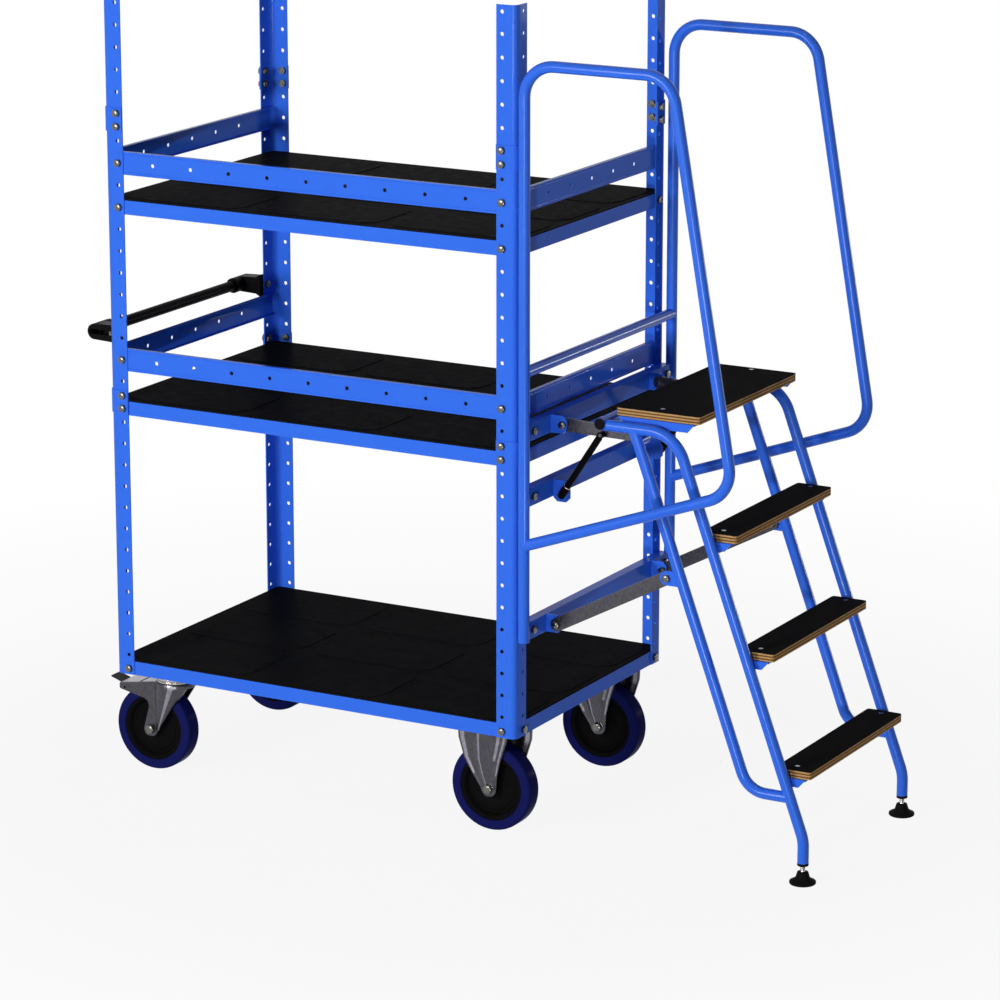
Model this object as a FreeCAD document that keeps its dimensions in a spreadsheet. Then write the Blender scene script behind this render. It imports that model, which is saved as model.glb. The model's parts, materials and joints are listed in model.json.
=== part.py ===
import FreeCAD, Part
import math
import os
import re
import Sketcher

# Lengths are in millimetres: x runs towards the ladder, y to the rear, z up from the floor
SIZES = {
    # Deck, shelves and trays
    "deck_length": 1050.0,
    "deck_width": 700.0,
    "caster_height": 245.0,
    "rim_height": 32.0,
    "rim_wall": 2.0,
    "tray_wall": 2.5,
    "bearer_width": 150.0,
    "bearer_wall": 4.0,
    # Posts and splice plates
    "post_flange": 48.0,
    "post_wall": 2.5,
    "post_bend": 14.0,
    "post_segment": 645.0,
    "post_tip": 325.0,
    "hole_radius": 4.5,
    "hole_inset": 34.3,
    "hole_pitch": 50.0,
    "hole_end": 15.0,
    "hole_first": 47.5,
    "hole_tip_first": 62.5,
    "splice_height": 54.0,
    "splice_wall": 2.5,
    # Rails round the shelves
    "rail_height": 52.0,
    "rail_wall": 2.0,
    "rail_lip": 10.0,
    "rail_gap": 2.0,
    "rail_hole_pitch": 100.0,
    # Bolts
    "bolt_radius": 4.0,
    "bolt_across": 16.0,
    "bolt_head": 6.4,
    "nut_height": 6.5,
    "bolt_spare": 2.0,
    # Push handle
    "handle_out": 59.0,
    "handle_radius": 12.5,
    "handle_bore": 10.5,
    "sleeve_radius": 18.0,
    "sleeve_inner_inset": 91.0,
    "arm_inner_inset": 62.0,
    "arm_outer_inset": 26.0,
    "arm_height": 40.0,
    "arm_foot_height": 54.0,
    "arm_foot": 12.0,
    "sleeve_stop": 6.0,
    # Casters and wheels
    "caster_inset": 101.0,
    "caster_side": 90.0,
    "caster_plate_length": 135.0,
    "caster_plate_width": 110.0,
    "caster_plate_wall": 4.0,
    "caster_bolt_length": 105.0,
    "caster_bolt_width": 80.0,
    "caster_trail": 50.0,
    "wheel_headroom": 45.0,
    "tyre_width": 46.0,
    "tyre_depth": 23.0,
    "tyre_round": 7.0,
    "hub_rim_width": 40.0,
    "hub_rim_depth": 10.0,
    "hub_web": 16.0,
    "hub_boss_radius": 24.0,
    "hub_width": 54.0,
    "axle_radius": 6.0,
    "axle_across": 19.0,
    "axle_head": 8.0,
    "run_gap": 0.05,
    "side_gap": 0.3,
    "fork_gap": 54.6,
    "fork_wall": 4.0,
    "fork_end": 18.0,
    "fork_back": 67.0,
    "fork_front": 46.0,
    "fork_knee": 10.0,
    "fork_shoulder": 45.0,
    "fork_shoulder_back": 58.0,
    "race_radius": 44.0,
    "race_height": 17.7,
    "crown_radius": 48.0,
    "crown_depth": 17.0,
    "crown_fall": 40.0,
    "crown_crease": 35.0,
    "crown_side": 33.0,
    "leg_back": 53.0,
    "leg_back_drop": 66.0,
    "brake_arm_reach": 135.0,
    "brake_arm_drop": 45.0,
    "brake_arm_height": 14.0,
    "brake_arm_root": 52.0,
    "brake_arm_root_back": 60.0,
    "pedal_pivot_inset": 14.0,
    "pedal_pivot_drop": 9.5,
    "pedal_pin": 3.0,
    "pedal_length": 30.0,
    "pedal_width": 36.0,
    "pedal_gap": 2.0,
    "pedal_wall": 3.0,
    "pedal_lift": 9.0,
    # Crossbeams, lugs and ladder links
    "beam_height": 40.0,
    "beam_depth": 24.0,
    "beam_wall": 2.5,
    "lug_wall": 5.0,
    "lug_tip": 62.0,
    "lug_chamfer": 9.0,
    "pivot_out": 52.5,
    "pivot_radius": 5.0,
    "upper_lug_inset": 28.0,
    "lower_lug_inset": 9.0,
    "link_wall": 6.0,
    "link_end": 15.0,
    "link_tip": 11.0,
    "open_gap": 1.3,
    "ladder_pivot_out": 250.4,
    "ladder_pivot_drop": 6.5,
    "boss_radius": 11.5,
    "tab_out": 323.5,
    "tab_rise": 144.5,
    "tab_radius": 16.0,
    # Gas springs
    "gas_inset": 23.0,
    "gas_bracket_inset": 40.0,
    "gas_low_out": 53.0,
    "gas_low_drop": 10.5,
    "gas_high_out": 148.0,
    "gas_high_drop": 10.5,
    "gas_lug_tip": 64.0,
    "gas_lug_drop": 31.0,
    "gas_stud": 4.0,
    "gas_socket": 7.5,
    "gas_socket_width": 11.0,
    "gas_rod_radius": 3.0,
    "gas_tube_radius": 7.5,
    "gas_rod_show": 12.0,
    "gas_rod_inside": 70.0,
    "gas_open_gap": 1.0,
    # Tubes of handrails and ladder
    "tube_radius": 12.5,
    "tube_bore": 10.5,
    "handrail_inset": 1.5,
    "handrail_out": 19.5,
    "handrail_bottom": 226.0,
    "handrail_top": 1492.0,
    "handrail_far": 366.0,
    "handrail_knee_out": 520.0,
    "handrail_knee": 621.0,
    "handrail_joint": 443.0,
    "handrail_bend": 70.0,
    "crossbar_level": 827.0,
    "ladder_inset": 89.0,
    "cross_out": 164.0,
    "cross_rise": 23.5,
    "stringer_rise": 19.5,
    "stringer_corner": 338.8,
    "stringer_bend": 85.0,
    "foot_out": 656.5,
    "foot_knee": 148.0,
    "foot_bend": 90.0,
    "foot_length": 47.0,
    "stay_top_out": 238.8,
    "stay_corner_out": 522.3,
    "stay_corner_drop": 57.0,
    "stay_bend": 60.0,
    "cap_height": 3.0,
    # Treads
    "platform_rise": 57.5,
    "platform_edge": 386.0,
    "platform_depth": 200.0,
    "tread_rise": 250.0,
    "tread_run": 91.7,
    "tread_depth": 84.0,
    "board_inset": 20.0,
    "board_wall": 18.0,
    "bracket_height": 18.0,
    "bracket_wall": 3.0,
    "bracket_flange": 38.0,
    "bracket_inset": 9.0,
    "bracket_chamfer": 16.0,
    "screw_radius": 2.5,
    "screw_head": 5.5,
    "screw_head_height": 2.0,
    "screw_inset": 24.0,
    # Levelling feet
    "pad_radius": 29.0,
    "pad_height": 28.0,
    "pad_neck": 13.0,
    "pad_edge": 6.0,
    "spindle_radius": 5.0,
    "spindle_inside": 24.0,
    "ball_radius": 7.5,
    "ball_level": 12.0,
    "insert_collar": 6.0,
    "insert_depth": 25.0,
}

# Sizes that follow from the others
DERIVED = {
    "deck_mid": "(handle_out + sleeve_radius - foot_out - pad_radius) / 2",
    "post_right": "deck_mid + deck_length / 2",
    "post_left": "deck_mid - deck_length / 2",
    "half_width": "deck_width / 2",
    "wheel_radius": "(caster_height - wheel_headroom) / 2",
    "tyre_inner": "wheel_radius - tyre_depth",
    "hub_rim_inner": "tyre_inner - hub_rim_depth",
    "sleeve_inner": "half_width - sleeve_inner_inset",
    "arm_inner": "half_width - arm_inner_inset",
    "arm_outer": "half_width - arm_outer_inset",
    "handrail_side": "half_width - handrail_inset",
    "ladder_side": "half_width - ladder_inset",
    "upper_lug_side": "ladder_side - upper_lug_inset",
    "lower_lug_side": "ladder_side - lower_lug_inset",
    "gas_side": "ladder_side - gas_inset",
    "gas_bracket_side": "ladder_side - gas_bracket_inset",
    "board_length": "2 * (ladder_side - board_inset)",
    "shelf_low": "post_segment - hole_end",
    "beam_low": "hole_first + 4 * hole_pitch",
    "beam_mid": "hole_first + 10 * hole_pitch",
    "beam_top": "post_segment + hole_first",
    "rail_low": "beam_top + hole_pitch",
    "handle_level": "beam_top + 2 * hole_pitch",
    "shelf_high": "beam_top + 8 * hole_pitch",
    "rail_high": "beam_top + 10 * hole_pitch",
    "beam_half": "handrail_side - tube_radius",
    "stringer_level": "beam_top + stringer_rise",
    "cross_level": "beam_top + cross_rise",
    "platform_level": "beam_top + platform_rise",
    "ladder_pivot_level": "beam_top - ladder_pivot_drop",
    "tab_level": "beam_low + tab_rise",
    "gas_low_level": "beam_mid - gas_low_drop",
    "gas_high_level": "beam_top - gas_high_drop",
    "foot_end": "foot_length - caster_height",
    "foot_knee_level": "-foot_knee",
    "stay_corner_level": "-stay_corner_drop",
    "leg_run": "(foot_out - stringer_corner) / (stringer_level - foot_knee_level)",
    "stay_foot_out": "stringer_corner + leg_run * (stringer_level - stay_corner_level)",
    "axle_drop": "caster_height - wheel_radius",
    "fork_half": "fork_gap / 2 + fork_wall",
    "crown_top": "-caster_plate_wall - race_height - side_gap",
    "pedal_pivot": "brake_arm_reach - pedal_pivot_inset",
    "pedal_level": "-brake_arm_drop - pedal_pivot_drop",
    "crease_level": "crown_top - fork_wall + side_gap",
    "arm_fall": "(brake_arm_drop + crease_level) / (brake_arm_reach - crown_crease)",
    "pedal_reach": "brake_arm_reach + pedal_gap + pedal_length",
    "upper_link_side": "upper_lug_side - lug_wall / 2 - side_gap - link_wall / 2",
    "lower_link_side": "lower_lug_side + lug_wall / 2 + side_gap + link_wall / 2",
    "tab_side": "lower_link_side + link_wall / 2 + side_gap + lug_wall / 2",
    "bracket_side": "ladder_side - tube_radius",
    "handrail_split_out": "(handrail_knee_out + handrail_out) / 2",
    "handrail_split_level": "(handrail_knee + handrail_joint) / 2",
}

# Corners of the bent tubes, out from the post face and up from the deck, with the radius of their bends
PATHS = {
    "handrail_loop": ([("handrail_out", "handrail_bottom"), ("handrail_out", "handrail_top"),
                       ("handrail_far", "handrail_top"), ("handrail_knee_out", "handrail_knee"),
                       ("handrail_split_out", "handrail_split_level")], "handrail_bend"),
    "stringer_pipe": ([("cross_out", "stringer_level"), ("stringer_corner", "stringer_level"),
                       ("foot_out", "foot_knee_level"), ("foot_out", "foot_end")], "stringer_bend"),
    "stay_pipe": ([("stay_foot_out", "stay_corner_level"), ("stay_corner_out", "stay_corner_level"),
                   ("stay_top_out", "stringer_level")], "stay_bend"),
}
LETTERS = "abc"
POST_HOLES = 12
TIP_HOLES = 5
FRONT_RAIL_HOLES = 9
SIDE_RAIL_HOLES = 5
STEP_COUNT = 3
SIDES = (("front", -1), ("rear", 1))
HEX_SIDES = 6
TURNS = {"front_left": 0, "front_right": 90, "rear_right": 180, "rear_left": 270}

Vector = FreeCAD.Vector
document = FreeCAD.newDocument("OrderPickingTrolley")
sheet = document.addObject("Spreadsheet::Sheet", "Sizes")
scratch = document.addObject("Spreadsheet::Sheet", "Scratch")
row_number = 0


def cell(name, text):
    global row_number
    row_number += 1
    sheet.set(f"A{row_number}", name)
    sheet.set(f"B{row_number}", text)
    sheet.setAlias(f"B{row_number}", name)


for size_name, size_value in SIZES.items():
    cell(size_name, str(size_value))
for size_name, size_rule in DERIVED.items():
    cell(size_name, "=" + size_rule)
# Where the arc of each bend starts and ends, worked out from the corner and its two neighbours
for path_name, (corners, bend) in PATHS.items():
    for letter, before, here, after in zip(LETTERS, corners, corners[1:], corners[2:]):
        key = f"{path_name}_{letter}"
        back = [f"({before[axis]} - ({here[axis]}))" for axis in (0, 1)]
        ahead = [f"({after[axis]} - ({here[axis]}))" for axis in (0, 1)]
        cell(f"{key}_back", f"=sqrt({back[0]} ^ 2 + {back[1]} ^ 2)")
        cell(f"{key}_ahead", f"=sqrt({ahead[0]} ^ 2 + {ahead[1]} ^ 2)")
        across = f"{back[0]} * {ahead[0]} + {back[1]} * {ahead[1]}"
        cell(f"{key}_cosine", f"=({across}) / ({key}_back * {key}_ahead)")
        cell(f"{key}_reach", f"={bend} * sqrt((1 + {key}_cosine) / (1 - {key}_cosine))")
        for axis, word in enumerate(("out", "level")):
            cell(f"{key}_start_{word}", f"={here[axis]} + {back[axis]} * {key}_reach / {key}_back")
            cell(f"{key}_end_{word}", f"={here[axis]} + {ahead[axis]} * {key}_reach / {key}_ahead")
document.recompute()

SIZE_WORD = re.compile(r"\b[a-z]+(?:_[a-z]+)+\b")
nodes = []


def link(rule):
    # Point every size word of a rule at the sheet
    return SIZE_WORD.sub(lambda found: "Sizes." + found.group(0), rule)


def number(rule):
    # A cell of a second sheet works the rule out
    scratch.set("A1", "=" + link(rule))
    scratch.recompute()
    return float(scratch.get("A1"))


def bind(thing, **rules):
    for key, rule in rules.items():
        thing.setExpression(key.replace("__", "."), link(rule))


def place(thing, x, y, z, turn=None):
    if turn is not None:
        thing.Placement = FreeCAD.Placement(Vector(), turn)
    bind(thing, Placement__Base__x=x, Placement__Base__y=y, Placement__Base__z=z)
    return thing


def turned(x, y, z, degrees):
    return FreeCAD.Rotation(Vector(x, y, z), degrees)


ALONG = {"x": turned(0, 1, 0, 90), "y": turned(1, 0, 0, -90), "z": turned(0, 0, 1, 0)}


def node(thing, label):
    thing.Label = label
    nodes.append(thing)
    return thing


def box(name, x, y, z, length, width, height):
    block = document.addObject("Part::Box", name)
    bind(block, Length=length, Width=width, Height=height)
    return place(block, x, y, z)


def rod(name, axis, radius, length, x, y, z):
    # A round bar that starts at the point and runs along the axis
    bar = document.addObject("Part::Cylinder", name)
    bind(bar, Radius=radius, Height=length)
    return place(bar, x, y, z, ALONG[axis])


def prism(name, axis, across, length, x, y, z):
    bar = document.addObject("Part::Prism", name)
    bar.Polygon = HEX_SIDES
    bind(bar, Circumradius=f"({across}) / sqrt(3)", Height=length)
    return place(bar, x, y, z, ALONG[axis])


def fuse(name, members):
    whole = document.addObject("Part::MultiFuse", name)
    whole.Shapes = members
    whole.Refine = True
    return whole


def cut(name, base, tools):
    rest = document.addObject("Part::Cut", name)
    rest.Base = base
    rest.Tool = tools[0] if len(tools) == 1 else fuse(name + "_tools", tools)
    return rest


def group(name, members):
    gathered = document.addObject("Part::Compound", name)
    gathered.Links = members
    return gathered


def new_body(name):
    return document.addObject("PartDesign::Body", name)


def origin_plane(body, role):
    return next(item for item in body.Origin.OriginFeatures if item.Role == role)


def new_sketch(body, role, offset="0"):
    sketch = body.newObject("Sketcher::SketchObject", "Outline")
    sketch.AttachmentSupport = (origin_plane(body, role), [""])
    sketch.MapMode = "FlatFace"
    sketch.setExpression("AttachmentOffset.Base.z", link(offset))
    return sketch


def pin(sketch, geometry, spot, x, y):
    for kind, rule in (("DistanceX", x), ("DistanceY", y)):
        rank = sketch.addConstraint(Sketcher.Constraint(kind, -1, 1, geometry, spot, number(rule)))
        sketch.setExpression(f"Constraints[{rank}]", link(rule))


def outline(sketch, points):
    # A closed outline of straight lines through the points
    spots = [Vector(number(x), number(y), 0) for x, y in points]
    following = spots[1:] + spots[:1]
    lines = [sketch.addGeometry(Part.LineSegment(a, b)) for a, b in zip(spots, following)]
    for here, after in zip(lines, lines[1:] + lines[:1]):
        sketch.addConstraint(Sketcher.Constraint("Coincident", here, 2, after, 1))
    for line, (x, y) in zip(lines, points):
        pin(sketch, line, 1, x, y)


def frame(sketch, x_low, x_high, y_low, y_high):
    outline(sketch, [(x_low, y_low), (x_high, y_low), (x_high, y_high), (x_low, y_high)])


def circle(sketch, x, y, radius):
    centre = Vector(number(x), number(y), 0)
    ring = sketch.addGeometry(Part.Circle(centre, Vector(0, 0, 1), number(radius)))
    pin(sketch, ring, 3, x, y)
    rank = sketch.addConstraint(Sketcher.Constraint("Radius", ring, number(radius)))
    sketch.setExpression(f"Constraints[{rank}]", link(radius))


def extrude(body, kind, sketch, length, middle=False, reverse=False):
    feature = body.newObject("PartDesign::" + kind, kind)
    feature.Profile = sketch
    bind(feature, Length=length)
    feature.Midplane = middle
    feature.Reversed = reverse
    sketch.Visibility = False
    return feature


def pad(body, sketch, length, **ways):
    return extrude(body, "Pad", sketch, length, **ways)


def pocket(body, sketch, length, **ways):
    return extrude(body, "Pocket", sketch, length, **ways)


def revolve(body, sketch, axis):
    feature = body.newObject("PartDesign::Revolution", "Revolution")
    feature.Profile = sketch
    feature.ReferenceAxis = (sketch, [axis])
    return feature


def soften(body, feature, radius, wanted):
    # Round the edges of a feature that the test picks out
    document.recompute()
    names = [f"Edge{k}" for k, edge in enumerate(feature.Shape.Edges, 1) if wanted(edge)]
    rounded = body.newObject("PartDesign::Fillet", "Fillet")
    rounded.Base = (feature, names)
    bind(rounded, Radius=radius)
    return rounded


def runs_along(edge, axis):
    if edge.Curve.TypeId != "Part::GeomLine":
        return False
    return abs(edge.tangentAt(edge.FirstParameter).dot(axis)) > math.cos(math.radians(1))


def upright(edge):
    return runs_along(edge, Vector(0, 0, 1))


def bent_path(sketch, path_name):
    # Straight runs joined by arcs, every joint pinned by the sheet
    corners, bend = PATHS[path_name]
    bend_count = len(corners) - 2
    joints = []
    for letter in LETTERS[:bend_count]:
        key = f"{path_name}_{letter}"
        joints.append([(f"{key}_{end}_out", f"{key}_{end}_level") for end in ("start", "end")])
    starts = [corners[0]] + [joint[1] for joint in joints]
    ends = [joint[0] for joint in joints] + [corners[-1]]
    for rank, (start, end) in enumerate(zip(starts, ends)):
        spots = [Vector(number(x), number(y), 0) for x, y in (start, end)]
        run = sketch.addGeometry(Part.LineSegment(*spots))
        pin(sketch, run, 1, *start)
        pin(sketch, run, 2, *end)
        if rank < bend_count:
            bent_corner(sketch, joints[rank], corners[rank + 1], bend)


def bent_corner(sketch, joint, corner, bend):
    first, last, tip = [Vector(number(x), number(y), 0) for x, y in (*joint, corner)]
    radius = number(bend)
    reach = (tip - first).Length
    inward = ((first + last) / 2 - tip).normalize()
    crown = tip + inward * (math.hypot(radius, reach) - radius)
    arc = sketch.addGeometry(Part.Arc(first, crown, last))
    near = 1 if (crown - first).cross(last - crown).z > 0 else 2
    pin(sketch, arc, near, *joint[0])
    pin(sketch, arc, 3 - near, *joint[1])
    rank = sketch.addConstraint(Sketcher.Constraint("Radius", arc, radius))
    sketch.setExpression(f"Constraints[{rank}]", link(bend))


def bent_tube(name, path_name, side, role="YZ_Plane", hollow=True):
    # A tube along a bent path in the plane of one side of the trolley
    body = new_body(name)
    path = new_sketch(body, "XZ_Plane")
    bent_path(path, path_name)
    first_x, first_z = PATHS[path_name][0][0]
    section = new_sketch(body, role, first_x if role == "YZ_Plane" else first_z)
    across = ("0", first_z) if role == "YZ_Plane" else (first_x, "0")
    circle(section, *across, "tube_radius")
    if hollow:
        circle(section, *across, "tube_bore")
    sweep = body.newObject("PartDesign::AdditivePipe", "Sweep")
    sweep.Profile = section
    sweep.Spine = path
    path.Visibility = False
    section.Visibility = False
    return place(body, "post_right", f"{side} * {SIDE_OF[path_name]}", "caster_height")


SIDE_OF = {"handrail_loop": "handrail_side", "stringer_pipe": "ladder_side", "stay_pipe": "ladder_side"}


def shelf(name, level, bottom):
    # A folded pan, open below, that fits between the posts
    body = new_body(name)
    plan = new_sketch(body, "XY_Plane")
    reach = "(deck_length / 2 - post_wall)"
    spread = "(half_width - post_wall)"
    frame(plan, "-" + reach, reach, "-" + spread, spread)
    block = pad(body, plan, "rim_height")
    soften(body, block, "post_bend", upright)
    inside = new_sketch(body, "XY_Plane")
    inner_reach = "(deck_length / 2 - post_wall - rim_wall)"
    inner_spread = "(half_width - post_wall - rim_wall)"
    corner = "(post_bend - rim_wall)"
    points = []
    for x_sign, y_sign, swap in ((-1, -1, 0), (1, -1, 1), (1, 1, 0), (-1, 1, 1)):
        along = (f"{x_sign} * ({inner_reach} - {corner})", f"{y_sign} * {inner_spread}")
        beside = (f"{x_sign} * {inner_reach}", f"{y_sign} * ({inner_spread} - {corner})")
        points += [along, beside] if swap else [beside, along]
    outline(inside, points)
    pocket(body, inside, "rim_height - rim_wall", reverse=True)
    hole_level = f"{level} - ({bottom})"
    fronts = new_sketch(body, "XZ_Plane")
    for x_sign in (-1, 1):
        circle(fronts, f"{x_sign} * (deck_length / 2 - hole_inset)", hole_level, "hole_radius")
    pocket(body, fronts, "deck_width", middle=True)
    ends = new_sketch(body, "YZ_Plane")
    for y_sign in (-1, 1):
        circle(ends, f"{y_sign} * (half_width - hole_inset)", hole_level, "hole_radius")
    pocket(body, ends, "deck_length", middle=True)
    return place(body, "deck_mid", "0", f"caster_height + {bottom}")


def tray(name, bottom):
    # A flat sheet on top of a pan
    body = new_body(name)
    plan = new_sketch(body, "XY_Plane")
    reach = "(deck_length / 2 - post_wall)"
    spread = "(half_width - post_wall)"
    frame(plan, "-" + reach, reach, "-" + spread, spread)
    block = pad(body, plan, "tray_wall")
    soften(body, block, "post_bend", upright)
    return place(body, "deck_mid", "0", f"caster_height + {bottom} + rim_height")


base_pan = shelf("BasePan", "hole_end", "0")
bearers = []
bearer_bolts = []
for end, end_sign in (("Left", -1), ("Right", 1)):
    middle = f"(deck_mid + {end_sign} * (deck_length / 2 - caster_inset))"
    bearer = box("Bearer" + end, f"{middle} - bearer_width / 2", "post_wall + rim_wall / 2 - half_width",
                 "caster_height", "bearer_width", "deck_width - 2 * post_wall - rim_wall", "bearer_wall")
    for side_name, side in SIDES:
        for x_sign in (-1, 1):
            for y_sign in (-1, 1):
                spot_x = f"{middle} + {x_sign} * caster_bolt_length / 2"
                spot_y = f"{side} * (half_width - caster_side) + {y_sign} * caster_bolt_width / 2"
                bearer_bolts.append((spot_x, spot_y))
    bearers.append(bearer)
bearer_holes = [rod("BearerHole", "z", "hole_radius", "bearer_wall", x, y, "caster_height")
                for x, y in bearer_bolts]
base_whole = fuse("BaseWhole", [base_pan] + bearers)
node(cut("BaseDeck", base_whole, bearer_holes), "base_deck")
node(tray("BaseTray", "0"), "base_tray")
middle_bottom = "(shelf_low - rim_height / 2)"
upper_bottom = "(shelf_high - rim_height / 2)"
node(shelf("MiddlePan", "shelf_low", middle_bottom), "middle_shelf")
node(shelf("UpperPan", "shelf_high", upper_bottom), "upper_shelf")
node(group("ShelfTrays", [tray("MiddleTray", middle_bottom), tray("UpperTray", upper_bottom)]), "shelf_trays")


def corner_spot(corner):
    x = "post_left" if corner.endswith("left") else "post_right"
    y = "-half_width" if corner.startswith("front") else "half_width"
    return x, y


def angle(name, corner, wall, flange, bend, height, levels, bottom, outside):
    # An angle with its outer bend at the corner and one column of holes in each flange
    body = new_body(name)
    plan = new_sketch(body, "XY_Plane")
    low = f"-({outside})"
    inner = f"{wall} - {outside}"
    outline(plan, [(low, low), (flange, low), (flange, inner),
                   (inner, inner), (inner, flange), (low, flange)])
    block = pad(body, plan, height)
    outer_spot = number(low)
    inner_spot = number(inner)
    rounded = block
    for spot, radius in ((outer_spot, f"{bend} + {outside}"), (inner_spot, f"{bend} + {outside} - {wall}")):
        rounded = soften(body, rounded, radius, lambda edge: upright(edge) and
                         edge.Vertexes[0].Point.distanceToPoint(
                             Vector(spot, spot, edge.Vertexes[0].Point.z)) < number(wall) / 10)
    for role, back in (("XZ_Plane", False), ("YZ_Plane", True)):
        holes = new_sketch(body, role, outside if role == "XZ_Plane" else low)
        for level in levels:
            circle(holes, "hole_inset", level, "hole_radius")
        pocket(body, holes, wall, reverse=back)
    return place(body, *corner_spot(corner), f"caster_height + {bottom}", turned(0, 0, 1, TURNS[corner]))


long_levels = ["hole_end"] + [f"hole_first + {k} * hole_pitch" for k in range(POST_HOLES)]
long_levels.append("post_segment - hole_end")
tip_levels = ["hole_end"] + [f"hole_tip_first + {k} * hole_pitch" for k in range(TIP_HOLES)]
tip_levels.append("post_tip - hole_end")
splices = []
for corner in TURNS:
    lengths = []
    for rank, (height, levels) in enumerate((("post_segment", long_levels), ("post_segment", long_levels),
                                             ("post_tip", tip_levels))):
        lengths.append(angle(f"Post{rank}_{corner}", corner, "post_wall", "post_flange", "post_bend",
                             height, levels, f"{rank} * post_segment", "0"))
    node(group(f"Post_{corner}", lengths), f"post_{corner}")
    for rank in (1, 2):
        joint_levels = [f"splice_height / 2 + {sign} * hole_end" for sign in (-1, 1)]
        splices.append(angle(f"Splice{rank}_{corner}", corner, "splice_wall", "post_flange", "post_bend",
                             "splice_height", joint_levels,
                             f"{rank} * post_segment - splice_height / 2", "splice_wall"))
node(group("SplicePlates", splices), "splice_plates")


def rail(name, length, holes, x, y, z, degrees, end_hole=None):
    # A folded rail with its web outside and its lips turned in
    body = new_body(name)
    section = new_sketch(body, "YZ_Plane")
    top = "(rail_height / 2)"
    lip = "(rail_height / 2 - rail_wall)"
    outline(section, [("0", "-" + top), ("rail_lip", "-" + top),
                      ("rail_lip", "-" + lip), ("rail_wall", "-" + lip),
                      ("rail_wall", lip), ("rail_lip", lip), ("rail_lip", top), ("0", top)])
    pad(body, section, length, middle=True)
    row = new_sketch(body, "XZ_Plane")
    for k in range(holes):
        circle(row, f"({k} - {holes - 1} / 2) * rail_hole_pitch", "0", "hole_radius")
    if end_hole:
        for sign in (-1, 1):
            circle(row, f"{sign} * {end_hole}", "0", "hole_radius")
    pocket(body, row, "rail_wall")
    return place(body, x, y, z, turned(0, 0, 1, degrees))


rail_sets = {"front_rails": [], "left_rails": [], "right_rails": []}
front_length = "deck_length - 2 * (post_bend + rail_gap)"
side_length = "deck_width - 2 * (post_bend + rail_gap)"
for level in ("rail_low", "rail_high"):
    height = f"caster_height + {level}"
    rail_sets["front_rails"].append(rail("FrontRail", front_length, FRONT_RAIL_HOLES, "deck_mid",
                                         "post_wall - half_width", height, 0,
                                         "(deck_length / 2 - hole_inset)"))
    rail_sets["left_rails"].append(rail("LeftRail", side_length, SIDE_RAIL_HOLES, "post_left + post_wall",
                                        "0", height, 270))
    rail_sets["right_rails"].append(rail("RightRail", side_length, SIDE_RAIL_HOLES, "post_right - post_wall",
                                         "0", height, 90))
for label, members in rail_sets.items():
    node(group(label.title().replace("_", ""), members), label)

handle_x = "post_left - handle_out"
handle_z = "caster_height + handle_level"
handle_half = "(arm_outer - sleeve_stop)"
handle_at = (handle_x, f"-{handle_half}", handle_z)
handle_skin = rod("HandleSkin", "y", "handle_radius", f"2 * {handle_half}", *handle_at)
handle_core = rod("HandleCore", "y", "handle_bore", f"2 * {handle_half}", *handle_at)
node(cut("PushHandle", handle_skin, [handle_core]), "push_handle")

brackets = []
for side_name, side in SIDES:
    bracket = new_body("HandleBracket")
    arm = new_sketch(bracket, "XZ_Plane", f"{-side} * (arm_inner + arm_outer) / 2")
    outline(arm, [("0", "-arm_foot_height / 2"), ("0", "arm_foot_height / 2"),
                  ("-arm_foot", "arm_height / 2"),
                  ("-handle_out", "sleeve_radius"), ("-handle_out", "-sleeve_radius"),
                  ("-arm_foot", "-arm_height / 2")])
    pad(bracket, arm, "arm_outer - arm_inner", middle=True)
    sleeve = new_sketch(bracket, "XZ_Plane", f"{-side} * (sleeve_inner + arm_outer) / 2")
    circle(sleeve, "-handle_out", "0", "sleeve_radius")
    pad(bracket, sleeve, "arm_outer - sleeve_inner", middle=True)
    bore = new_sketch(bracket, "XZ_Plane")
    circle(bore, "-handle_out", "0", "handle_radius")
    pocket(bracket, bore, handle_half, reverse=side < 0)
    bolt_way = new_sketch(bracket, "YZ_Plane")
    circle(bolt_way, f"{side} * (half_width - hole_inset)", "0", "hole_radius")
    pocket(bracket, bolt_way, "arm_foot")
    head_way = new_sketch(bracket, "YZ_Plane", "-arm_foot")
    circle(head_way, f"{side} * (half_width - hole_inset)", "0", "bolt_across / 2 + bolt_spare")
    pocket(bracket, head_way, "handle_out")
    brackets.append(place(bracket, "post_left", "0", handle_z))
node(group("HandleBrackets", brackets), "handle_brackets")


def caster_spot(end_sign, side):
    x = f"(deck_mid + {end_sign} * (deck_length / 2 - caster_inset))"
    y = f"({side} * (half_width - caster_side))"
    return x, y


def plate_holes(body, depth):
    holes = new_sketch(body, "XY_Plane")
    for x_sign in (-1, 1):
        for y_sign in (-1, 1):
            spot = (f"{x_sign} * caster_bolt_length / 2", f"{y_sign} * caster_bolt_width / 2")
            circle(holes, *spot, "hole_radius")
    pocket(body, holes, depth)


def flat_plate(body):
    plan = new_sketch(body, "XY_Plane")
    frame(plan, "-caster_plate_length / 2", "caster_plate_length / 2",
          "-caster_plate_width / 2", "caster_plate_width / 2")
    pad(body, plan, "caster_plate_wall", reverse=True)


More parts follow.
